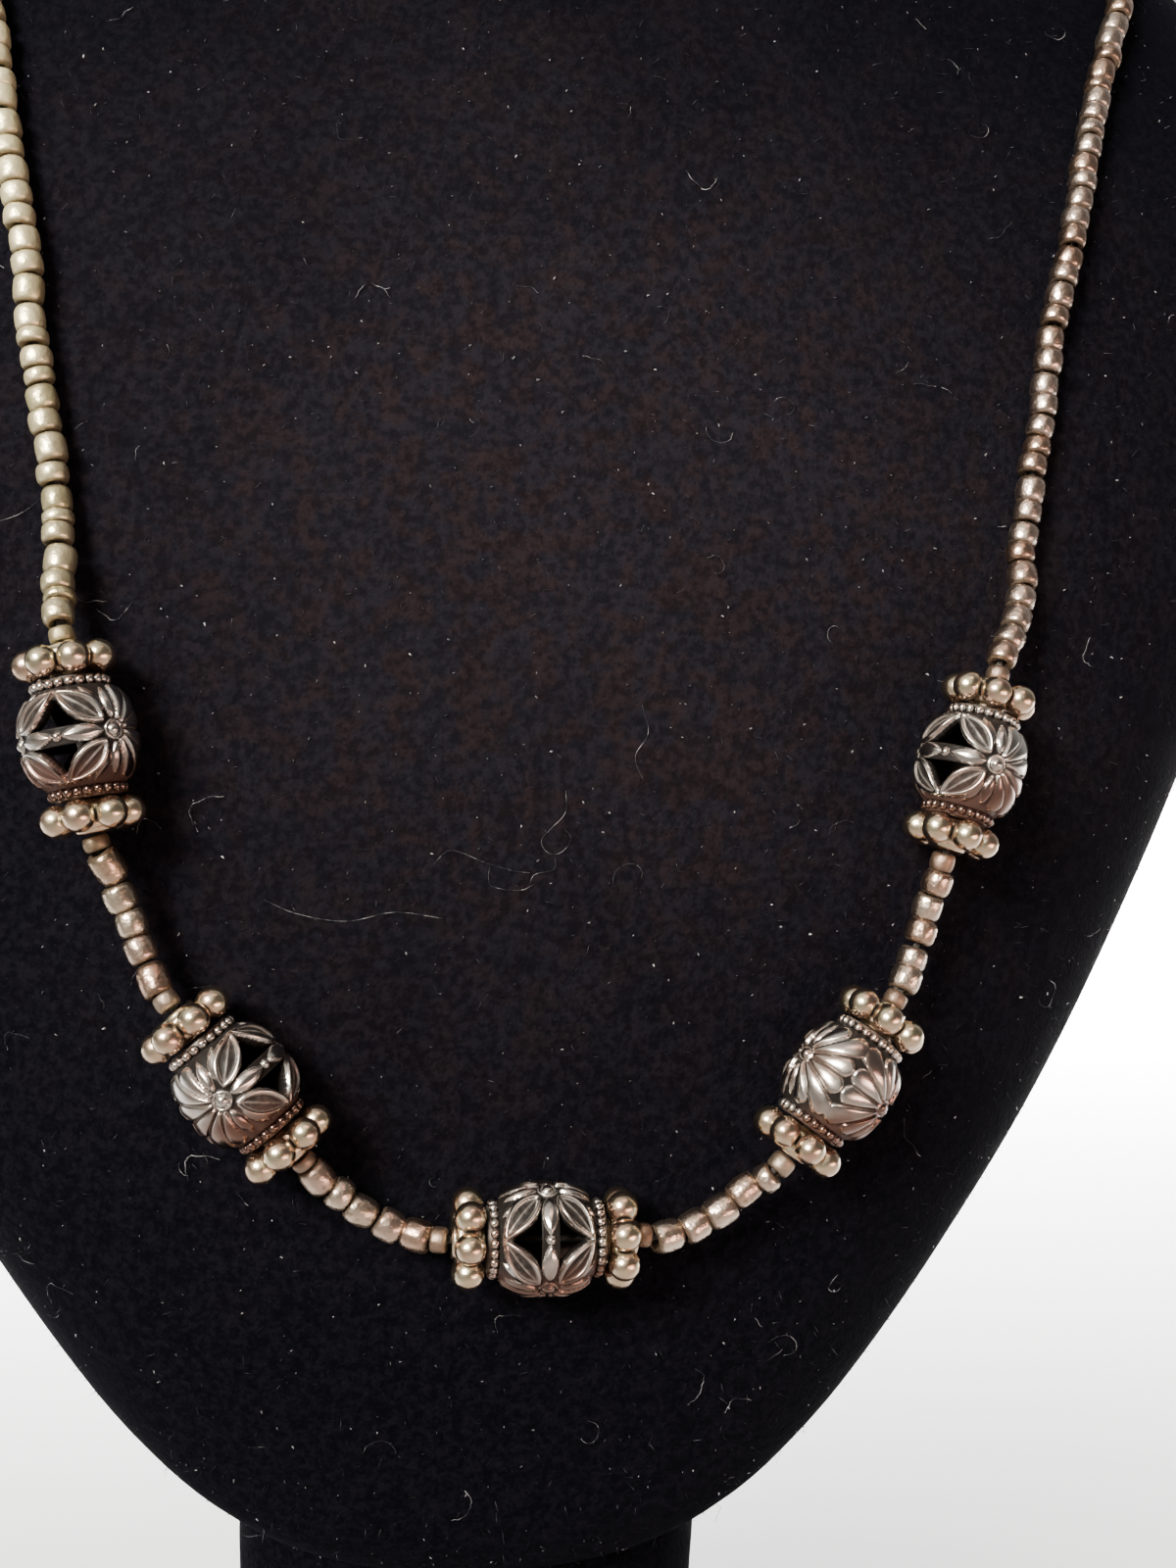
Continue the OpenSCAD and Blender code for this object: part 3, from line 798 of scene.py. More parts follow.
class StringSettings(bpy.types.PropertyGroup):
    pitch: length("Pitch", "Mean length of a seed bead along the string", 0.0023, 0.0015, 0.003)
    width: length("Width", "Mean width of a seed bead", 0.00296, 0.002, 0.0035)
    uneven: amount("Uneven Lengths", "Share by which the lengths differ", 0.2, max=0.5, subtype="FACTOR")
    thread_width: length("Thread Width", "Width of the thread", 0.0006, 0.0002, 0.0009)
    gold: colour("Gold", "Colour of the left strand", (0.76, 0.66, 0.43))
    olive: colour("Olive", "Colour of the greener beads", (0.52, 0.46, 0.26))
    rose: colour("Rose", "Colour of the right strand", (0.76, 0.60, 0.50))
    copper: colour("Copper", "Colour of the redder beads", (0.58, 0.39, 0.29))


class StageSettings(bpy.types.PropertyGroup):
    floor: colour("Floor", "Colour of the floor", (0.64, 0.64, 0.64))
    key_power: amount("Key Power", "Power of the window light in watts", 1.5)
    rose_power: amount("Rose Power", "Power of the low rose light from the right in watts", 0.28)
    fill_power: amount("Fill Power", "Power of the warm light on the floor in front in watts", 0.15)
    back_power: amount("Back Power", "Power of the light over the floor behind in watts", 290.0)
    sky: amount("Sky", "Strength of the light all round", 0.4)


# Pieces

class NecklaceOperator:
    bl_options = {"REGISTER", "UNDO"}

    @classmethod
    def poll(cls, context):
        return context.scene is not None


class NECKLACE_OT_velvet(NecklaceOperator, bpy.types.Operator):
    """Covers the chest, the stem and the base with velvet"""
    bl_idname = "necklace.velvet"
    bl_label = "Velvet Bust"

    # Rings of points and points in each, and the level under the chest where the pocket's cutter starts
    CHEST_LEVELS = 132
    CLOSING_RINGS = 8
    STEM_SIDES = 96
    BASE_SIDES = 144
    POCKET_SIDES = 80
    POCKET_START = 0.03

    def execute(self, context):
        settings = context.scene.necklace_velvet
        material = velvet_finish(settings)
        sides = settings.sides

        low, high = CHEST[0][0], CHEST[-1][0]
        levels = [(low + high) / 2 - (high - low) / 2 * math.cos(math.pi * k / self.CHEST_LEVELS)
                  for k in range(self.CHEST_LEVELS + 1)]
        rings = [[chest.skin(-360 * i / sides, z) for i in range(sides)] for z in levels]
        z, half_width, middle, depth, _ = CHEST[-1]
        for k in range(1, self.CLOSING_RINGS + 1):
            share = 1 - k / (self.CLOSING_RINGS + 1)
            rings.append([oval(-360 * i / sides, half_width * share, middle, depth * share, z)
                          for i in range(sides)])
        form = new_piece("velvet_form", *capped(rings))
        self.cut_pocket(form)
        seat(form, material, "velvet", "bust_form")

        levels = [BASE_HEIGHT + FLARE_HEIGHT * k / 40 for k in range(41)] + [0.07, STEM_TOP]
        rings = [[stem.skin(-360 * i / self.STEM_SIDES, z) for i in range(self.STEM_SIDES)] for z in levels]
        seat(new_piece("velvet_stem", *capped(rings)), material, "velvet", "bust_stem")

        seat(new_piece("velvet_base", *capped(self.base_rings())), material, "velvet", "bust_base")
        return {"FINISHED"}

    def base_rings(self):
        """Rings of the oval base, from its underside over its rounded edge to the middle of its top."""
        rim = [(0.0, 0.0012), (0.0001, 0.0006), (0.0005, 0.0001), (0.001, 0.0)]
        for degrees in range(0, 91, 9):
            a = math.radians(degrees)
            rim.append((BASE_HEIGHT - BASE_EDGE * (1 - math.sin(a)), BASE_EDGE * (1 - math.cos(a))))
        rim += [(BASE_HEIGHT, inset * MM) for inset in (5, 9, 15, 24)]
        return [[oval(-360 * i / self.BASE_SIDES, BASE_HALF - inset, BASE_MIDDLE, BASE_DEPTH - inset, z)
                 for i in range(self.BASE_SIDES)] for z, inset in rim]

    def cut_pocket(self, form):
        """Cuts the pocket that the stem stands in."""
        outline = [stem.skin(-360 * i / self.POCKET_SIDES, STEM_TOP, POCKET_GAP)
                   for i in range(self.POCKET_SIDES)]
        rings = [[Vector((p.x, p.y, z)) for p in outline] for z in (self.POCKET_START, STEM_TOP + POCKET_GAP)]
        cutter = new_piece("pocket_cutter", *capped(rings))
        combine(form, "DIFFERENCE", object=cutter)
        bpy.data.objects.remove(cutter)


class NECKLACE_OT_lint(NecklaceOperator, bpy.types.Operator):
    """Grows the standing pile fibres and scatters lint over the velvet"""
    bl_idname = "necklace.lint"
    bl_label = "Pile and Lint"

    # Routes of the longest hairs over the chest, as (x, z) in millimetres
    LONG_HAIRS = (
        ((-7.2, 122.3), (-6.6, 123.0), (-5.9, 123.6), (-4.8, 123.5), (-2.5, 122.6), (0, 121.9), (1.7, 121.7)),
        ((4.9, 129.3), (4.9, 127.3), (3.5, 125.7), (2.7, 124.6), (3.5, 123.5), (4.7, 123.7), (5.5, 125),
         (4.9, 125.7)),
        ((4.0, 123.2), (4.0, 122.1), (2.1, 121.5), (1.4, 120.2), (-1.8, 120.4), (-2.1, 121.2), (-2.0, 122.3)),
        ((-22.5, 118.8), (-19.5, 117.6), (-15, 117.0), (-10.6, 117.9), (-6.2, 117.4)),
        ((-50.5, 152.8), (-48.6, 152.2), (-46.4, 152.6), (-44.6, 153.6), (-43.4, 154.8)),
        ((12, 137.4), (12.6, 134.8), (11.4, 132.6), (12.2, 130.4)))
    # Their height over the velvet, their radius and the step between two points, in millimetres
    HAIR_LIFT = 0.12
    HAIR_RADIUS = 0.018
    HAIR_STEP = 0.4
    # Curled hairs for each speck, sizes of both in metres, and leans from upright in radians
    CURL_SHARE = 0.05
    CURL_SIZE = 0.0026
    SPECK_SIZE = 0.00026
    NAP_LEAN = 0.9
    LINT_LEAN = 0.25

    def execute(self, context):
        settings = context.scene.necklace_velvet
        form = bpy.data.objects["velvet_form"]
        stalk = self.fibre("stalk", [((0, 0, 0), 0.03), ((0.3, 0.02, 0.95), 0.01)])
        self.scatter("velvet_nap", form, [stalk], nap_finish(), settings.nap_density, settings.nap_length,
                     self.NAP_LEAN, 3)

        lint = lint_finish()
        curls = self.curls()
        self.scatter("lint_hairs", form, curls, lint, settings.speck_density * self.CURL_SHARE,
                     self.CURL_SIZE, self.LINT_LEAN, 11)
        crumb = self.fibre("crumb", [((0, 0, 0.1), 0.3), ((0.5, 0.1, 0.45), 0.16)])
        self.scatter("lint_specks", form, [crumb], lint, settings.speck_density, self.SPECK_SIZE,
                     self.LINT_LEAN, 23)
        seat(new_piece("long_hairs", *joined(self.hair(route) for route in self.LONG_HAIRS)), lint, "velvet")
        for template in [stalk, crumb] + curls:
            bpy.data.objects.remove(template)
        return {"FINISHED"}

    def curls(self):
        """Four curled hairs of unit size, which lie flat."""
        dice = random.Random(41)
        curls = []
        for k in range(4):
            line, heading = [((0, 0, 0.05), 0.010)], dice.uniform(0, math.tau)
            x = y = 0.0
            for i in range(12):
                heading += dice.uniform(-0.35, 0.75) * (1 if k % 2 else -1)
                x, y = x + 0.12 * math.cos(heading), y + 0.12 * math.sin(heading)
                line.append(((x, y, 0.05 + 0.03 * math.sin(i)), 0.010))
            curls.append(self.fibre(f"curl_{k}", line))
        return curls

    def hair(self, route):
        """Vertices and faces of one long hair on the chest."""
        points = [chest.over_front(x * MM, z * MM, self.HAIR_LIFT * MM) for x, z in route]
        first, last = (points[1] - points[0]).normalized(), (points[-1] - points[-2]).normalized()
        return swept_tube(flowing(points, first, last, self.HAIR_STEP * MM), self.HAIR_RADIUS * MM, 4)

    @staticmethod
    def fibre(name, points):
        """Thin bent fibre of unit size with three sides, as rings of the given radii."""
        return new_piece(name, *capped([[Vector(p) + round_z(a, r) for a in turns(3)] for p, r in points]))

    @staticmethod
    def scatter(name, ground, templates, material, density, size, lean, seed):
        """Scatters small fibres over a piece's skin."""
        grower = Grower(name + "_tree", {"Density": "Float", "Size": "Float", "Seed": "Int"})
        spread = grower.node("GeometryNodeDistributePointsOnFaces", {"distribute_method": "RANDOM"},
                             {"Mesh": grower.given("Geometry"), "Density": grower.given("Density"),
                              "Seed": grower.given("Seed")})
        choice = grower.node("GeometryNodeJoinGeometry")
        for template in reversed(templates):
            info = grower.node("GeometryNodeObjectInfo", {}, {"Object": template, "As Instance": True})
            grower.tree.links.new(info.output("Geometry").socket, choice.socket.node.inputs[0])
        instances = grower.node("GeometryNodeInstanceOnPoints", {}, {
            "Points": spread, "Instance": choice, "Pick Instance": len(templates) > 1,
            "Rotation": grower.spun(spread.output("Rotation"), lean, 5),
            "Scale": grower.given("Size") * grower.chance(0.4, 1.6, 8)})
        grower.finish(instances, material)
        piece = new_object(name, ground.data.copy())
        grower.grow(piece, {"Density": density, "Size": size, "Seed": seed})
        seat(piece, material, "velvet")


class NECKLACE_OT_barrels(NecklaceOperator, bpy.types.Operator):
    """Casts the five pierced barrel beads with their flowers and beaded rims"""
    bl_idname = "necklace.barrels"
    bl_label = "Barrel Beads"

    # One bead is drawn on the Z axis in millimetres and degrees. The wall is a round band that curves in
    # towards both ends, where the outer and the inner skin stop at their own heights.
    RADIUS = BARREL_RADIUS / MM
    BAND = BAND_HALF / MM
    END = SHOULDER / MM
    INNER_END = 3.85
    # Petals along the wall: distance round the bead, height, direction, length and width
    BROAD = ((2.64, 2.56, 44, 5.1, 2.5), (2.64, -2.56, -44, 5.1, 2.5))
    # Plain domed petals: outlines, height at the edge, further rise, how far in that goes, least brightness
    SLIM = (((2.72, 0, 0, 3.6, 1.45),), 0.7, 0.3, 0.6, 0.6)
    FILLING = (((1.22, 3.05, 69, 2.9, 1.0), (1.22, -3.05, -69, 2.9, 1.0)), 0.6, 0.25, 0.5, 0.55)
    ENDS = (((0, 2.55, 90, 3.1, 1.1), (0, -2.55, -90, 3.1, 1.1)), 0.65, 0.3, 0.5, 0.6)
    # The fan of the closed side: angle of one petal, its height beside the others', how far the petals reach
    # aside and up, where they start, and the shares of their length where the tip begins and that it takes
    FAN_SPREAD = 180 / 7
    FAN_RISE = 1.05
    FAN_ASIDE = 4.86
    FAN_UP = 4.3
    FAN_START = 0.98
    FAN_TIP = 0.84
    FAN_TIP_LENGTH = 0.165
    # Radius and height of the boss in a flower and of the knob between two flowers, and middle, half width
    # and height of the ring round the boss
    BOSS = (0.62, 0.6)
    KNOB = (0.42, 0.42)
    RING = (0.78, 0.13, 0.34)
    # The openings over and under the bar between two flowers: heights where they start and end, least
    # distance from a flower's middle, and how far they reach in under its broad petals
    BAR_HALF = 0.8
    OPENING_TOP = 3.3
    OPENING_SIDE = 2.2
    OPENING_GAP = 0.04
    # From the shoulder over the end to the bore and the inner wall: radius and height
    END_PROFILE = (
        (3.12, 4.36), (2.95, 4.4), (2.95, 5.2), (2.88, 5.3), (0.8, 5.3), (0.7, 5.2), (0.7, 3.9), (0.8, 3.85))
    # Small beads of each rim: radius, radius and height of their ring, and where they turn bright
    RIM_BEAD = 0.44
    RIM_RADIUS = 3.12
    RIM_HEIGHT = 4.76
    RIM_BRIGHT_FROM = 3.25

    def execute(self, context):
        settings = context.scene.necklace_barrels
        material = cast_silver_finish(settings)
        vertices, faces, relief = self.cast(settings)
        for name in BARRELS:
            bead = Placed(name)
            place = bead.matrix(turn=bead.turn)
            piece = new_piece("cast_" + name, [place @ v for v in vertices], faces)
            add_values(piece, "relief", relief)
            # Share of the underside, where the finish paints shade and warm reflection
            add_values(piece, "shaded", [(v.co - place.translation).dot(SHADED_SIDE) / BARREL_HALF
                                         for v in piece.data.vertices])
            seat(piece, material, "antique_silver", "barrel_" + name)
        return {"FINISHED"}

    def wall(self, z):
        """Radius of the wall."""
        return np.sqrt(self.RADIUS ** 2 - np.maximum(np.abs(z) - self.BAND, 0) ** 2)

    @staticmethod
    def beside_flower(angle, margin=0.0):
        """Angle from the middle of the nearest flower, and whether the closed side lies there."""
        relative = (angle + 60) % 120 - 60
        flower = np.floor((angle + 60) / 120) % 3
        return relative, ((flower == 1) & (relative >= -margin)) | ((flower == 2) & (relative < margin))

    @staticmethod
    def petal(u, v, outline, narrowed=1.0):
        """Distance inside a petal's outline, and place across it."""
        pu, pv, direction, long, wide = outline
        c, s = math.cos(math.radians(direction)), math.sin(math.radians(direction))
        du, dv = u - pu * narrowed, v - pv
        along, across = du * c + dv * s, -du * s + dv * c
        t = np.clip(2 * along / long, -1, 1)
        half = wide / 2 * np.maximum(1 - t * t, 0) ** 0.8 * (1 - 0.1 * t)
        return np.where(np.abs(along) < long / 2, half - np.abs(across), -1.0), across

    def fan(self, relative, v):
        """Height and share of bright metal of the closed side's fans, and where they lie. Six petals fan out
        from each flower until they meet the next flower's."""
        level = np.radians(np.abs(relative)) * self.RADIUS
        reach = np.hypot(level, v)
        heading = np.degrees(np.arctan2(v, level))
        spread = self.FAN_SPREAD
        middle = np.clip(np.round(heading / spread - 0.5), -3, 2) * spread + spread / 2
        slant = np.radians(middle)
        rising = np.maximum(np.abs(np.sin(slant)), 0.01)
        end = np.minimum(self.FAN_ASIDE / np.cos(slant), self.FAN_UP / rising)
        tip = self.FAN_TIP * end
        past = ((reach - tip) / (self.FAN_TIP_LENGTH * end)) ** 2 * (reach > tip)
        half = math.radians(spread / 2) * reach * np.sqrt(np.clip(1 - past, 0, 1))
        aside = np.abs(np.radians(heading - middle)) * reach
        inside = np.where((reach < end) & (reach > self.FAN_START), half - aside, -1.0)
        domed = smooth_rise(inside, 0.03, 0.15) * (0.45 + 0.55 * dome(aside, half + 1e-3))
        return domed, np.where(inside > 0.02, 0.45 + 0.55 * domed, 0), np.abs(heading) < 90 - spread / 2

    def surface(self, settings, angle, z):
        """Height over the wall and share of bright metal."""
        high = settings.petal_height / MM
        radius = self.wall(z)
        # Height along the wall's curve
        rounded = self.BAND + self.RADIUS * np.arcsin(np.clip((np.abs(z) - self.BAND) / self.RADIUS, -1, 1))
        v = np.sign(z) * np.where(np.abs(z) <= self.BAND, np.abs(z), rounded)
        relative, closed = self.beside_flower(angle)
        u = np.radians(relative) * radius
        au = np.abs(u)
        height, bright = np.zeros_like(angle), np.zeros_like(angle)

        def lay(new_height, new_bright, where=True):
            over = (new_height > height) & where
            return np.where(over, new_height, height), np.where(over, new_bright, bright)

        for outline in self.BROAD:
            inside, across = self.petal(au, v, outline, radius / self.RADIUS)
            rim = smooth_rise(inside, 0.0, 0.18) * (1 - 0.8 * smooth_rise(inside, 0.38, 0.64))
            vein = 0.3 * np.exp(-(across / 0.1) ** 2) * smooth_rise(inside, 0.4, 0.65)
            shine = 1 - 0.76 * smooth_rise(inside, 0.42, 0.62) + 0.8 * vein
            height, bright = lay(high * (rim + vein), np.where(inside > 0.02, shine, 0), ~closed)
        plain = ((self.SLIM, au, ~closed), (self.FILLING, au, ~closed), (self.ENDS, u, True))
        for (outlines, edge, rise, deep, least), aside, where in plain:
            for outline in outlines:
                inside = self.petal(aside, v, outline)[0]
                domed = smooth_rise(inside, 0.0, 0.12) * (edge + rise * smooth_rise(inside, 0.1, deep))
                height, bright = lay(high * domed, least + 0.4 * domed, where)

        domed, shine, within = self.fan(relative, v)
        height, bright = lay(high * self.FAN_RISE * domed, shine, closed & within)

        from_boss = np.hypot(u, v)
        clear = smooth_rise(from_boss, 0.9, 1.04)
        height, bright = height * clear, bright * clear
        boss = dome(from_boss, self.BOSS[0])
        height, bright = lay(self.BOSS[1] * boss, 0.5 + 0.5 * boss)
        ring = dome(from_boss - self.RING[0], self.RING[1])
        height, bright = lay(self.RING[2] * ring, ring)
        knob = dome(np.hypot(np.radians(60 - np.abs(relative)) * radius, v), self.KNOB[0])
        return lay(self.KNOB[1] * knob, 0.4 + 0.6 * knob, ~closed)

    def beside_opening(self, angle, z):
        """Distance outside the nearest opening, below 0 inside it. Two openings lie over and two under each
        bar, between the petals of neighbouring flowers."""
        relative, closed = self.beside_flower(angle, 2)
        radius = self.wall(z)
        beside = np.radians(np.abs(relative)) * radius
        petal = self.petal(beside, np.abs(z), self.BROAD[0], radius / self.RADIUS)[0]
        level = np.maximum(self.BAR_HALF - np.abs(z), np.abs(z) - self.OPENING_TOP)
        aside = np.maximum(petal + self.OPENING_GAP, self.OPENING_SIDE - beside)
        return np.where(closed, 9.0, np.maximum(level, aside))

    def grid(self, columns, rows):
        """Angle and height of the wall's points and their distance outside an opening. Those close to an
        opening's outline are moved onto it."""
        step = 2 * self.END / rows
        angle = np.tile(np.arange(columns) * (360 / columns), rows + 1)
        z = np.repeat((np.arange(rows + 1) - rows / 2) * step, columns)
        out = self.beside_opening(angle, z)
        slope_a = (self.beside_opening(angle + 0.2, z) - self.beside_opening(angle - 0.2, z)) / 0.4
        slope_z = (self.beside_opening(angle, z + 0.01) - self.beside_opening(angle, z - 0.01)) / 0.02
        per_mm = 180 / math.pi / self.wall(z)
        steep = (slope_a * per_mm) ** 2 + slope_z ** 2 + 1e-9
        near = np.abs(out) < 0.6 * step
        angle = angle - np.where(near, out * slope_a * per_mm ** 2 / steep, 0)
        z = z - np.where(near, out * slope_z / steep, 0)
        return angle, np.clip(z, -self.END, self.END), np.where(near, 0, out)

    @staticmethod
    def wall_faces(gone, columns, rows):
        """Faces of the outer and the inner skin, and of the openings' edges between them."""
        count = len(gone)
        faces, kept = [], {}
        for k in range(rows):
            for i in range(columns):
                a, b = k * columns + i, k * columns + (i + 1) % columns
                quad = (a, b, b + columns, a + columns)
                if not all(gone[q] for q in quad):
                    kept[k, i] = quad
                    faces.append(quad)
                    faces.append(tuple(count + q for q in reversed(quad)))
        for (k, i), (a, b, c, d) in kept.items():
            neighbours = ((k - 1, i), (k, (i + 1) % columns), (k + 1, i), (k, (i - 1) % columns))
            for beside, p, q in zip(neighbours, (a, b, c, d), (b, c, d, a)):
                if 0 <= beside[0] < rows and beside not in kept:
                    faces.append((q, p, count + p, count + q))
        return faces

    def cast(self, settings):
        """Vertices, faces and relief of one bead, with the vertices in metres."""
        columns, rows = settings.columns, settings.rows
        angle, z, out = self.grid(columns, rows)
        height, bright = self.surface(settings, angle, z)
        edge = smooth_rise(self.END - np.abs(z), 0.0, 0.25)
        lip = smooth_rise(out, 0.0, 0.14)
        grown = self.wall(z) + height * edge * (0.35 + 0.65 * lip)
        thin = self.wall(z) - WALL / MM
        turn = np.radians(angle)
        outer = np.stack([grown * np.cos(turn), grown * np.sin(turn), z], 1) * MM
        inner = np.stack([thin * np.cos(turn), thin * np.sin(turn), z * self.INNER_END / self.END], 1) * MM

        vertices = [Vector(p) for p in outer] + [Vector(p) for p in inner]
        relief = list(np.clip(bright, 0, 1)) + [0.0] * len(outer)
        faces = self.wall_faces(out < 1e-6, columns, rows)
        for end in (-1, 1):
            self.add_end(end, settings, vertices, faces, relief)
        used = sorted({q for face in faces for q in face})
        order = {q: k for k, q in enumerate(used)}
        return ([vertices[q] for q in used], [tuple(order[q] for q in face) for face in faces],
                [relief[q] for q in used])

    def add_end(self, end, settings, vertices, faces, relief):
        """Adds one end's rings between the two skins, and its small beads, to the three lists."""
        columns = settings.columns
        start = len(vertices)
        for r, h in self.END_PROFILE:
            vertices += [round_z(math.radians(i * (360 / columns)), r, end * h) * MM for i in range(columns)]
            relief += [0.35 if h > 5 else 0.1] * columns
        first = settings.rows * columns if end > 0 else 0
        inner = (settings.rows + 1) * columns + first
        starts = [first] + [start + k * columns for k in range(len(self.END_PROFILE))] + [inner]
        for low, high in zip(starts, starts[1:]):
            for i in range(columns):
                j = (i + 1) % columns
                face = (low + i, low + j, high + j, high + i)
                faces.append(face if end > 0 else face[::-1])
        for a in turns(settings.rim_beads):
            centre = round_z(a, self.RIM_RADIUS, end * self.RIM_HEIGHT) * MM
            bead_vertices, bead_faces = ball(centre, self.RIM_BEAD * MM, 10, 7)
            shift = len(vertices)
            vertices += bead_vertices
            relief += [0.8 if math.hypot(v.x, v.y) > self.RIM_BRIGHT_FROM * MM else 0.15
                       for v in bead_vertices]
            faces += [tuple(shift + q for q in face) for face in bead_faces]


class NECKLACE_OT_spacers(NecklaceOperator, bpy.types.Operator):
    """Casts the ten ball spacers"""
    bl_idname = "necklace.spacers"
    bl_label = "Ball Spacers"

    # Distance from a crevice between two balls, or a ball and the hub, at which the metal is bright again
    CREVICE = 0.0005

    def execute(self, context):
        settings = context.scene.necklace_spacers
        material = gilt_finish(settings)
        for index, (node, bead, side) in enumerate(SPACERS):
            piece, centres, radii = self.cast(settings, index)
            place = Placed(bead).matrix(side * (BARREL_HALF + BEAD_GAP + HUB_LENGTH / 2), 13 + 17 * side)
            values = []
            for vertex in piece.data.vertices:
                gaps = sorted(abs((vertex.co - c).length - r) for c, r in zip(centres, radii))
                hub = abs(math.hypot(vertex.co.x, vertex.co.y) - settings.hub_width / 2)
                gap = sorted((gaps[0], gaps[1], hub))[1]
                values.append(1 - min(1, gap / self.CREVICE))
            add_values(piece, "crevice", values)
            piece.data.transform(place)
            # Facing of each vertex towards the underside, where the finish paints a rose shade and warm
            # reflection
            add_values(piece, "shaded", [v.normal.dot(SHADED_SIDE) for v in piece.data.vertices])
            piece.data.shade_smooth()
            piece.name = "cast_spacer_" + node
            seat(piece, material, "gilt_silver", "spacer_" + node)
        return {"FINISHED"}

    @staticmethod
    def hub(settings, dice):
        """Vertices and faces of a slightly uneven hub with its bore and the web between the balls."""
        r = settings.hub_width / 2
        lower = [(0.0007, 0.00146), (r - 0.0002, 0.0015), (r, 0.0013), (r, 0.00105), (0.00236, 0.00105),
                 (0.00242, 0.0007)]
        vertices, faces = turned_mesh(mirrored(lower), 36, closed=True)
        for vertex in vertices:
            if math.hypot(vertex.x, vertex.y) > 0.001:
                vertex.x *= 1 + dice.uniform(-0.02, 0.02)
                vertex.y *= 1 + dice.uniform(-0.02, 0.02)
        return vertices, faces

    def cast(self, settings, index):
        """One spacer on the Z axis, joined into a single skin, with its balls' middles and radii."""
        dice = random.Random(100 + index)
        piece = new_piece(f"hub_{index}", *self.hub(settings, dice))
        balls = bpy.data.collections.new(f"balls_{index}")
        centres, radii = [], []
        for k, a in enumerate(turns(settings.balls)):
            radius = settings.ball_width / 2 * dice.uniform(0.975, 1.0)
            centre = round_z(a, settings.ring_width / 2, dice.uniform(-0.00005, 0.00005))
            vertices, faces = ball(Vector((0, 0, 0)), radius, 22, 15)
            lean = Matrix.Rotation(dice.uniform(0, math.tau), 3, "X")
            lean = lean @ Matrix.Rotation(dice.uniform(0, math.tau), 3, "Y")
            one = new_piece(f"ball_{index}_{k}", [centre + lean @ v for v in vertices], faces)
            bpy.context.scene.collection.objects.unlink(one)
            balls.objects.link(one)
            centres.append(centre)
            radii.append(radius)
        bpy.context.scene.collection.children.link(balls)
        combine(piece, "UNION", operand_type="COLLECTION", collection=balls)
        for one in list(balls.objects):
            bpy.data.objects.remove(one)
        bpy.data.collections.remove(balls)
        return piece, centres, radii


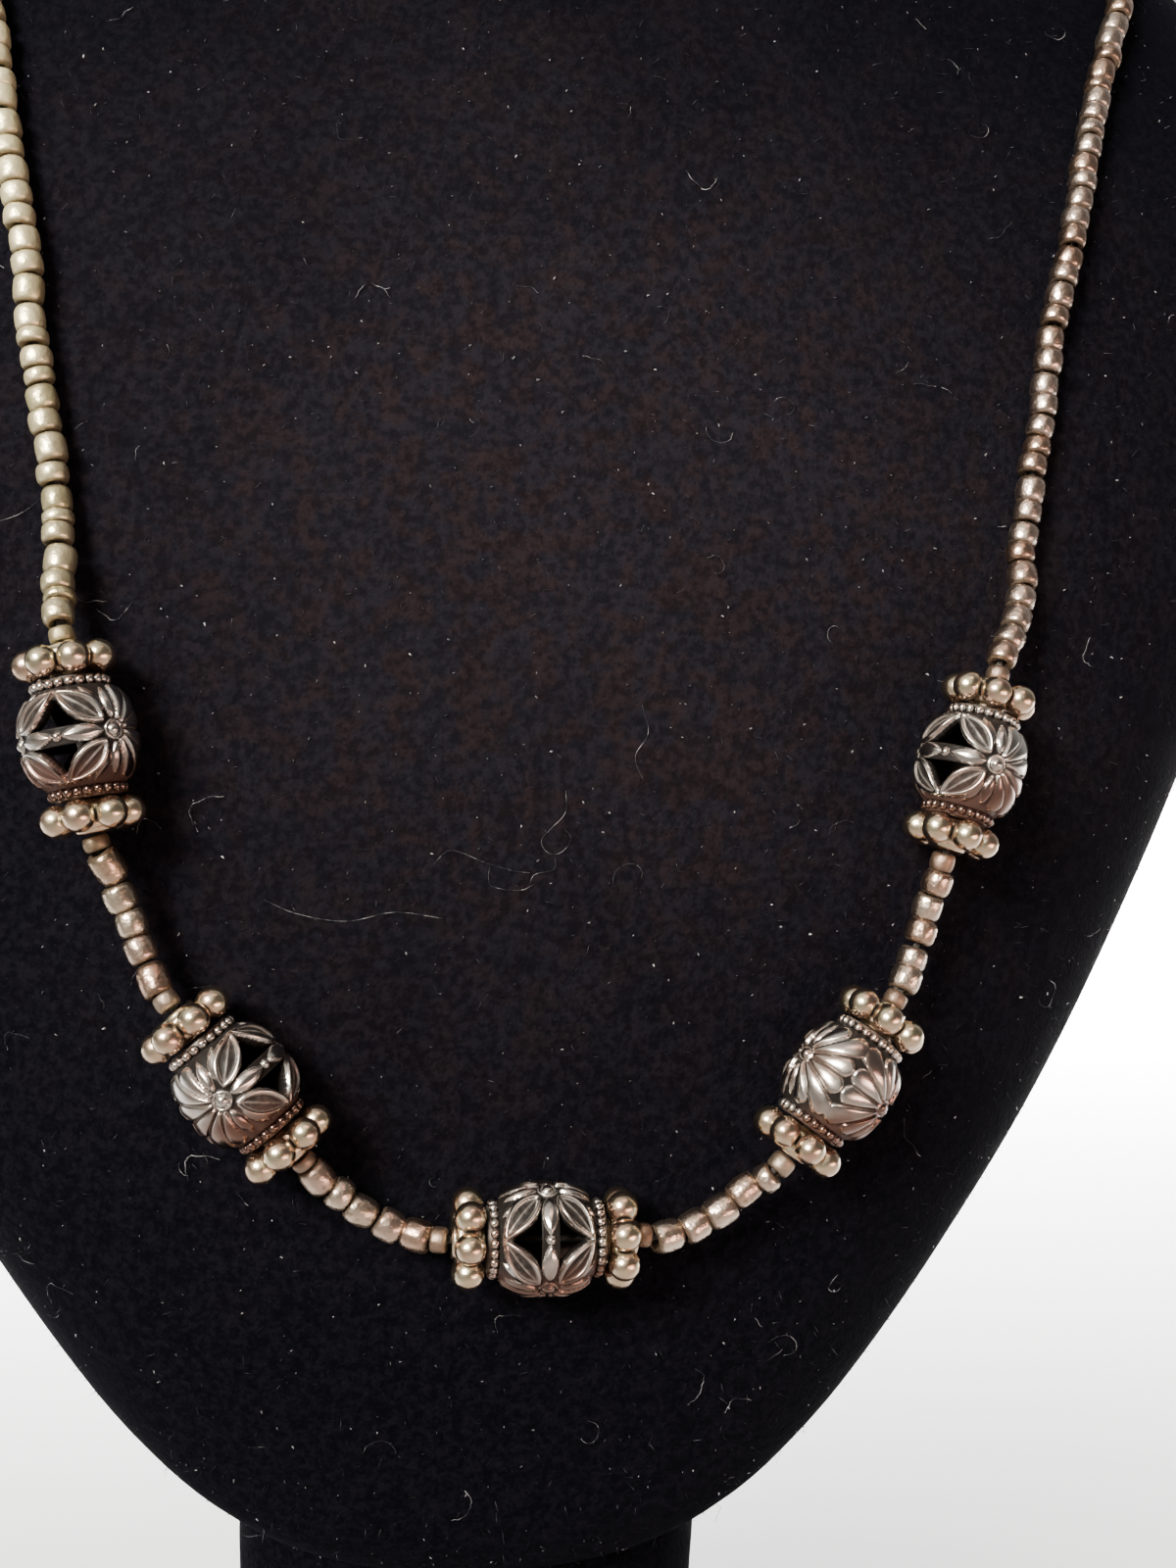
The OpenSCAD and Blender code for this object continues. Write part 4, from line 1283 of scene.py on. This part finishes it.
class NECKLACE_OT_strings(NecklaceOperator, bpy.types.Operator):
    """Strings the seed beads along every route"""
    bl_idname = "necklace.strings"
    bl_label = "Seed Beads"

    # Shares by which the first and the last bead of a string are shorter and narrower
    END_SHORTER = 0.42
    END_NARROWER = 0.2
    # One bead in twenty, whose random number from 0 to 1 is above the first value, is shorter by the second
    SHORT_ABOVE = 0.95
    SHORTER = 0.4
    # Shares of the mean width, joint between two beads and shift off the line in metres, lean in radians
    WIDTHS = (0.93, 1.02)
    JOINT = 0.0001
    ASIDE = 0.00016
    LEAN = 0.13

    def execute(self, context):
        settings = context.scene.necklace_strings
        material = seed_finish(settings)
        seed = self.template()
        grower = self.stringer(seed, material)
        for index, (node, line) in enumerate(string_lines().items()):
            run = sum((b - a).length for a, b in zip(line, line[1:]))
            piece = new_piece("seeds_" + node, line, [], [(k, k + 1) for k in range(len(line) - 1)])
            grower.grow(piece, {"Count": round(run / settings.pitch), "Width": settings.width,
                                "Uneven": settings.uneven, "Seed": 7 + 13 * index})
            if len(piece.data.polygons) < 100:
                raise RuntimeError("a string came out without seed beads")
            seat(piece, material, "seed_beads", node)
        bpy.data.objects.remove(seed)
        return {"FINISHED"}

    @staticmethod
    def template():
        """Seed bead of unit width and length on the Z axis, with its bore."""
        profile = mirrored([(0.2, 0.44), (0.33, 0.5), (0.43, 0.44), (0.485, 0.28)], (0.5, 0.0))
        vertices, faces = turned_mesh(profile, 16, closed=True)
        seed = new_piece("seed_template", vertices, faces)
        add_values(seed, "rim", [min(1, max(0, (abs(v.z) - 0.3) / 0.18)) for v in vertices])
        return seed

    def stringer(self, seed, material):
        """Tree that strings beads of uneven length along a line so that they fill it."""
        g = Grower("string_of_seeds", {"Count": "Int", "Width": "Float", "Uneven": "Float", "Seed": "Int"})
        count, dice = g.given("Count"), g.given("Seed")
        curve = g.node("GeometryNodeMeshToCurve", {}, {"Mesh": g.given("Geometry")})
        run = g.node("GeometryNodeCurveLength", {}, {"Curve": curve})
        index = g.node("GeometryNodeInputIndex")
        at_end = index.below(0.5).most(index.above(count - 1.5))
        share = (1 - at_end * self.END_SHORTER) * (1 + g.given("Uneven") * g.chance(-1.0, 1.0, dice))
        share = share * (1 - g.chance(0.0, 1.0, dice + 1).above(self.SHORT_ABOVE) * self.SHORTER)
        total = g.node("GeometryNodeAccumulateField", {"data_type": "FLOAT"}, {"Value": share})
        each = run / total.output("Total")
        along = (total.output("Trailing") + share * 0.5) * each
        sample = g.node("GeometryNodeSampleCurve", {"mode": "LENGTH"}, {"Curves": curve, "Length": along})
        aside = g.chance((-self.ASIDE,) * 3, (self.ASIDE,) * 3, dice + 2)
        points = g.node("GeometryNodePoints", {}, {"Count": count})
        placed = g.node("GeometryNodeSetPosition", {},
                        {0: points, "Position": sample.output("Position"), "Offset": aside})
        aligned = g.node("FunctionNodeAlignRotationToVector", {"axis": "Z"},
                         {"Vector": sample.output("Tangent")})
        wide = g.given("Width") * (1 - at_end * self.END_NARROWER) * g.chance(*self.WIDTHS, dice + 4)
        size = g.node("ShaderNodeCombineXYZ", {}, {0: wide, 1: wide, 2: share * each - self.JOINT})
        shape = g.node("GeometryNodeObjectInfo", {}, {"Object": seed}).output("Geometry")
        beads = g.node("GeometryNodeInstanceOnPoints", {}, {
            "Points": placed, "Instance": shape, "Scale": size,
            "Rotation": g.spun(aligned, self.LEAN, dice + 3)})
        toned = g.stored(beads, "tone", g.chance(0.0, 1.0, dice + 5))
        g.finish(g.stored(toned, "dulled", at_end), material)
        return g


class NECKLACE_OT_thread(NecklaceOperator, bpy.types.Operator):
    """Draws the thread through every bead"""
    bl_idname = "necklace.thread"
    bl_label = "Thread"

    SIDES = 8

    def execute(self, context):
        radius = context.scene.necklace_strings.thread_width / 2
        # Every second point of a string is enough
        lines = [line[:-1:2] + [line[-1]] for line in string_lines().values()]
        for name in BARRELS:
            bead = Placed(name)
            lines.append([bead.middle + share * REACH * bead.axis for share in (-1, -0.5, 0, 0.5, 1)])
        tubes = [swept_tube(line, radius, self.SIDES) for line in lines]
        seat(new_piece("spun_thread", *joined(tubes)), thread_finish(), "thread", "thread")
        return {"FINISHED"}


class NECKLACE_OT_clasp(NecklaceOperator, bpy.types.Operator):
    """Polishes the plain clasp at the back of the neck"""
    bl_idname = "necklace.clasp"
    bl_label = "Clasp"

    def execute(self, context):
        node = frame["nodes"]["clasp"]
        material = gilt_finish(context.scene.necklace_spacers, "clasp_gilt")
        for slot in node.material_slots:
            slot.material = material
        if not node.material_slots:
            node.data.materials.append(material)
        return {"FINISHED"}


class NECKLACE_OT_stage(NecklaceOperator, bpy.types.Operator):
    """Lays the pale floor, lights it softly and sets up the camera at the photo's angle"""
    bl_idname = "necklace.stage"
    bl_label = "Stage"

    # The floor lies just under the base, as rings of these radii
    FLOOR_LEVEL = -0.0002
    FLOOR_RADII = (0.001, 0.5, 1.5, 4.5)
    FLOOR_SIDES = 64

    def execute(self, context):
        settings = context.scene.necklace_stage
        vertices, faces = turned_mesh([(r, self.FLOOR_LEVEL) for r in self.FLOOR_RADII], self.FLOOR_SIDES)
        faces.append(tuple(range(self.FLOOR_SIDES - 1, -1, -1)))
        floor = new_piece("floor", vertices, [face[::-1] for face in faces])
        floor.data.materials.append(floor_finish(settings))

        for name in LAMPS:
            self.lamp(name, settings)
        self.sky(context, settings.sky)
        self.camera(context)
        return {"FINISHED"}

    @staticmethod
    def lamp(name, settings):
        place, target, width, height, power, shade, spread = LAMPS[name]
        light = bpy.data.lights.new(name, "AREA")
        light.shape = "RECTANGLE"
        light.size, light.size_y = width, height
        light.energy = getattr(settings, power)
        light.spread = math.radians(spread)
        light.color = shade
        lamp = new_object(name, light)
        lamp.location = place
        lamp.rotation_euler = (Vector(target) - Vector(place)).to_track_quat("-Z", "Y").to_euler()

    @staticmethod
    def sky(context, strength):
        """Soft studio light, dim in front, bright from the upper left and from behind."""
        world = bpy.data.worlds.new("studio")
        context.scene.world = world
        world.use_nodes = True
        tree = world.node_tree
        ground = next(n for n in tree.nodes if n.type == "BACKGROUND")
        across, away, up = parted(tree, add_node(tree, "ShaderNodeTexCoord").output("Generated"))
        window = (up * 0.72 - across * 0.5 - away * 0.48).rise(0.55, 0.98)
        shade = mixed(SKY_FRONT, SKY_WINDOW, window, tree)
        shade = mixed(shade, SKY_BEHIND, (away * 0.8 + up * 0.35).rise(0.0, 0.8), tree)
        tree.links.new(shade.socket, ground.inputs["Color"])
        ground.inputs["Strength"].default_value = strength

    @staticmethod
    def camera(context):
        """Camera in front of the chest, a little left of its middle and slightly rolled."""
        data = bpy.data.cameras.new("photo_camera")
        data.sensor_fit = "VERTICAL"
        data.sensor_height = CAMERA_SENSOR
        data.lens = CAMERA_SENSOR / 2 / math.tan(math.radians(CAMERA_FIELD / 2))
        data.clip_start = 0.005
        look = CAMERA_LOOK.normalized()
        right = look.cross(Vector((0, 0, 1))).normalized()
        up = right.cross(look)
        c, s = math.cos(math.radians(CAMERA_ROLL)), math.sin(math.radians(CAMERA_ROLL))
        pose = Matrix((c * right + s * up, c * up - s * right, -look)).transposed().to_4x4()
        pose.translation = CAMERA_PLACE
        camera = new_object("photo_camera", data)
        camera.matrix_world = pose
        context.scene.camera = camera


class NECKLACE_PT_panel(bpy.types.Panel):
    """Lists the pieces of the necklace and its bust"""
    bl_idname = "NECKLACE_PT_panel"
    bl_label = "Necklace"
    bl_space_type = "VIEW_3D"
    bl_region_type = "UI"
    bl_category = "Necklace"

    def draw(self, context):
        layout = self.layout
        for group in GROUPS:
            box = layout.box()
            settings = getattr(context.scene, group)
            for name in settings.__annotations__:
                box.prop(settings, name)
        for operator in OPERATORS:
            layout.operator(operator.bl_idname)


GROUPS = {"necklace_velvet": VelvetSettings, "necklace_barrels": BarrelSettings,
          "necklace_spacers": SpacerSettings, "necklace_strings": StringSettings,
          "necklace_stage": StageSettings}
OPERATORS = (NECKLACE_OT_stage, NECKLACE_OT_velvet, NECKLACE_OT_lint, NECKLACE_OT_barrels,
             NECKLACE_OT_spacers, NECKLACE_OT_strings, NECKLACE_OT_thread, NECKLACE_OT_clasp)
CLASSES = (*GROUPS.values(), *OPERATORS, NECKLACE_PT_panel)


def register():
    for cls in CLASSES:
        bpy.utils.register_class(cls)
    for name, group in GROUPS.items():
        setattr(bpy.types.Scene, name, PointerProperty(type=group))


def unregister():
    for name in GROUPS:
        delattr(bpy.types.Scene, name)
    for cls in reversed(CLASSES):
        bpy.utils.unregister_class(cls)


def main():
    register()
    for operator in OPERATORS:
        module, name = operator.bl_idname.split(".")
        getattr(getattr(bpy.ops, module), name)()


if __name__ == "__main__":
    main()
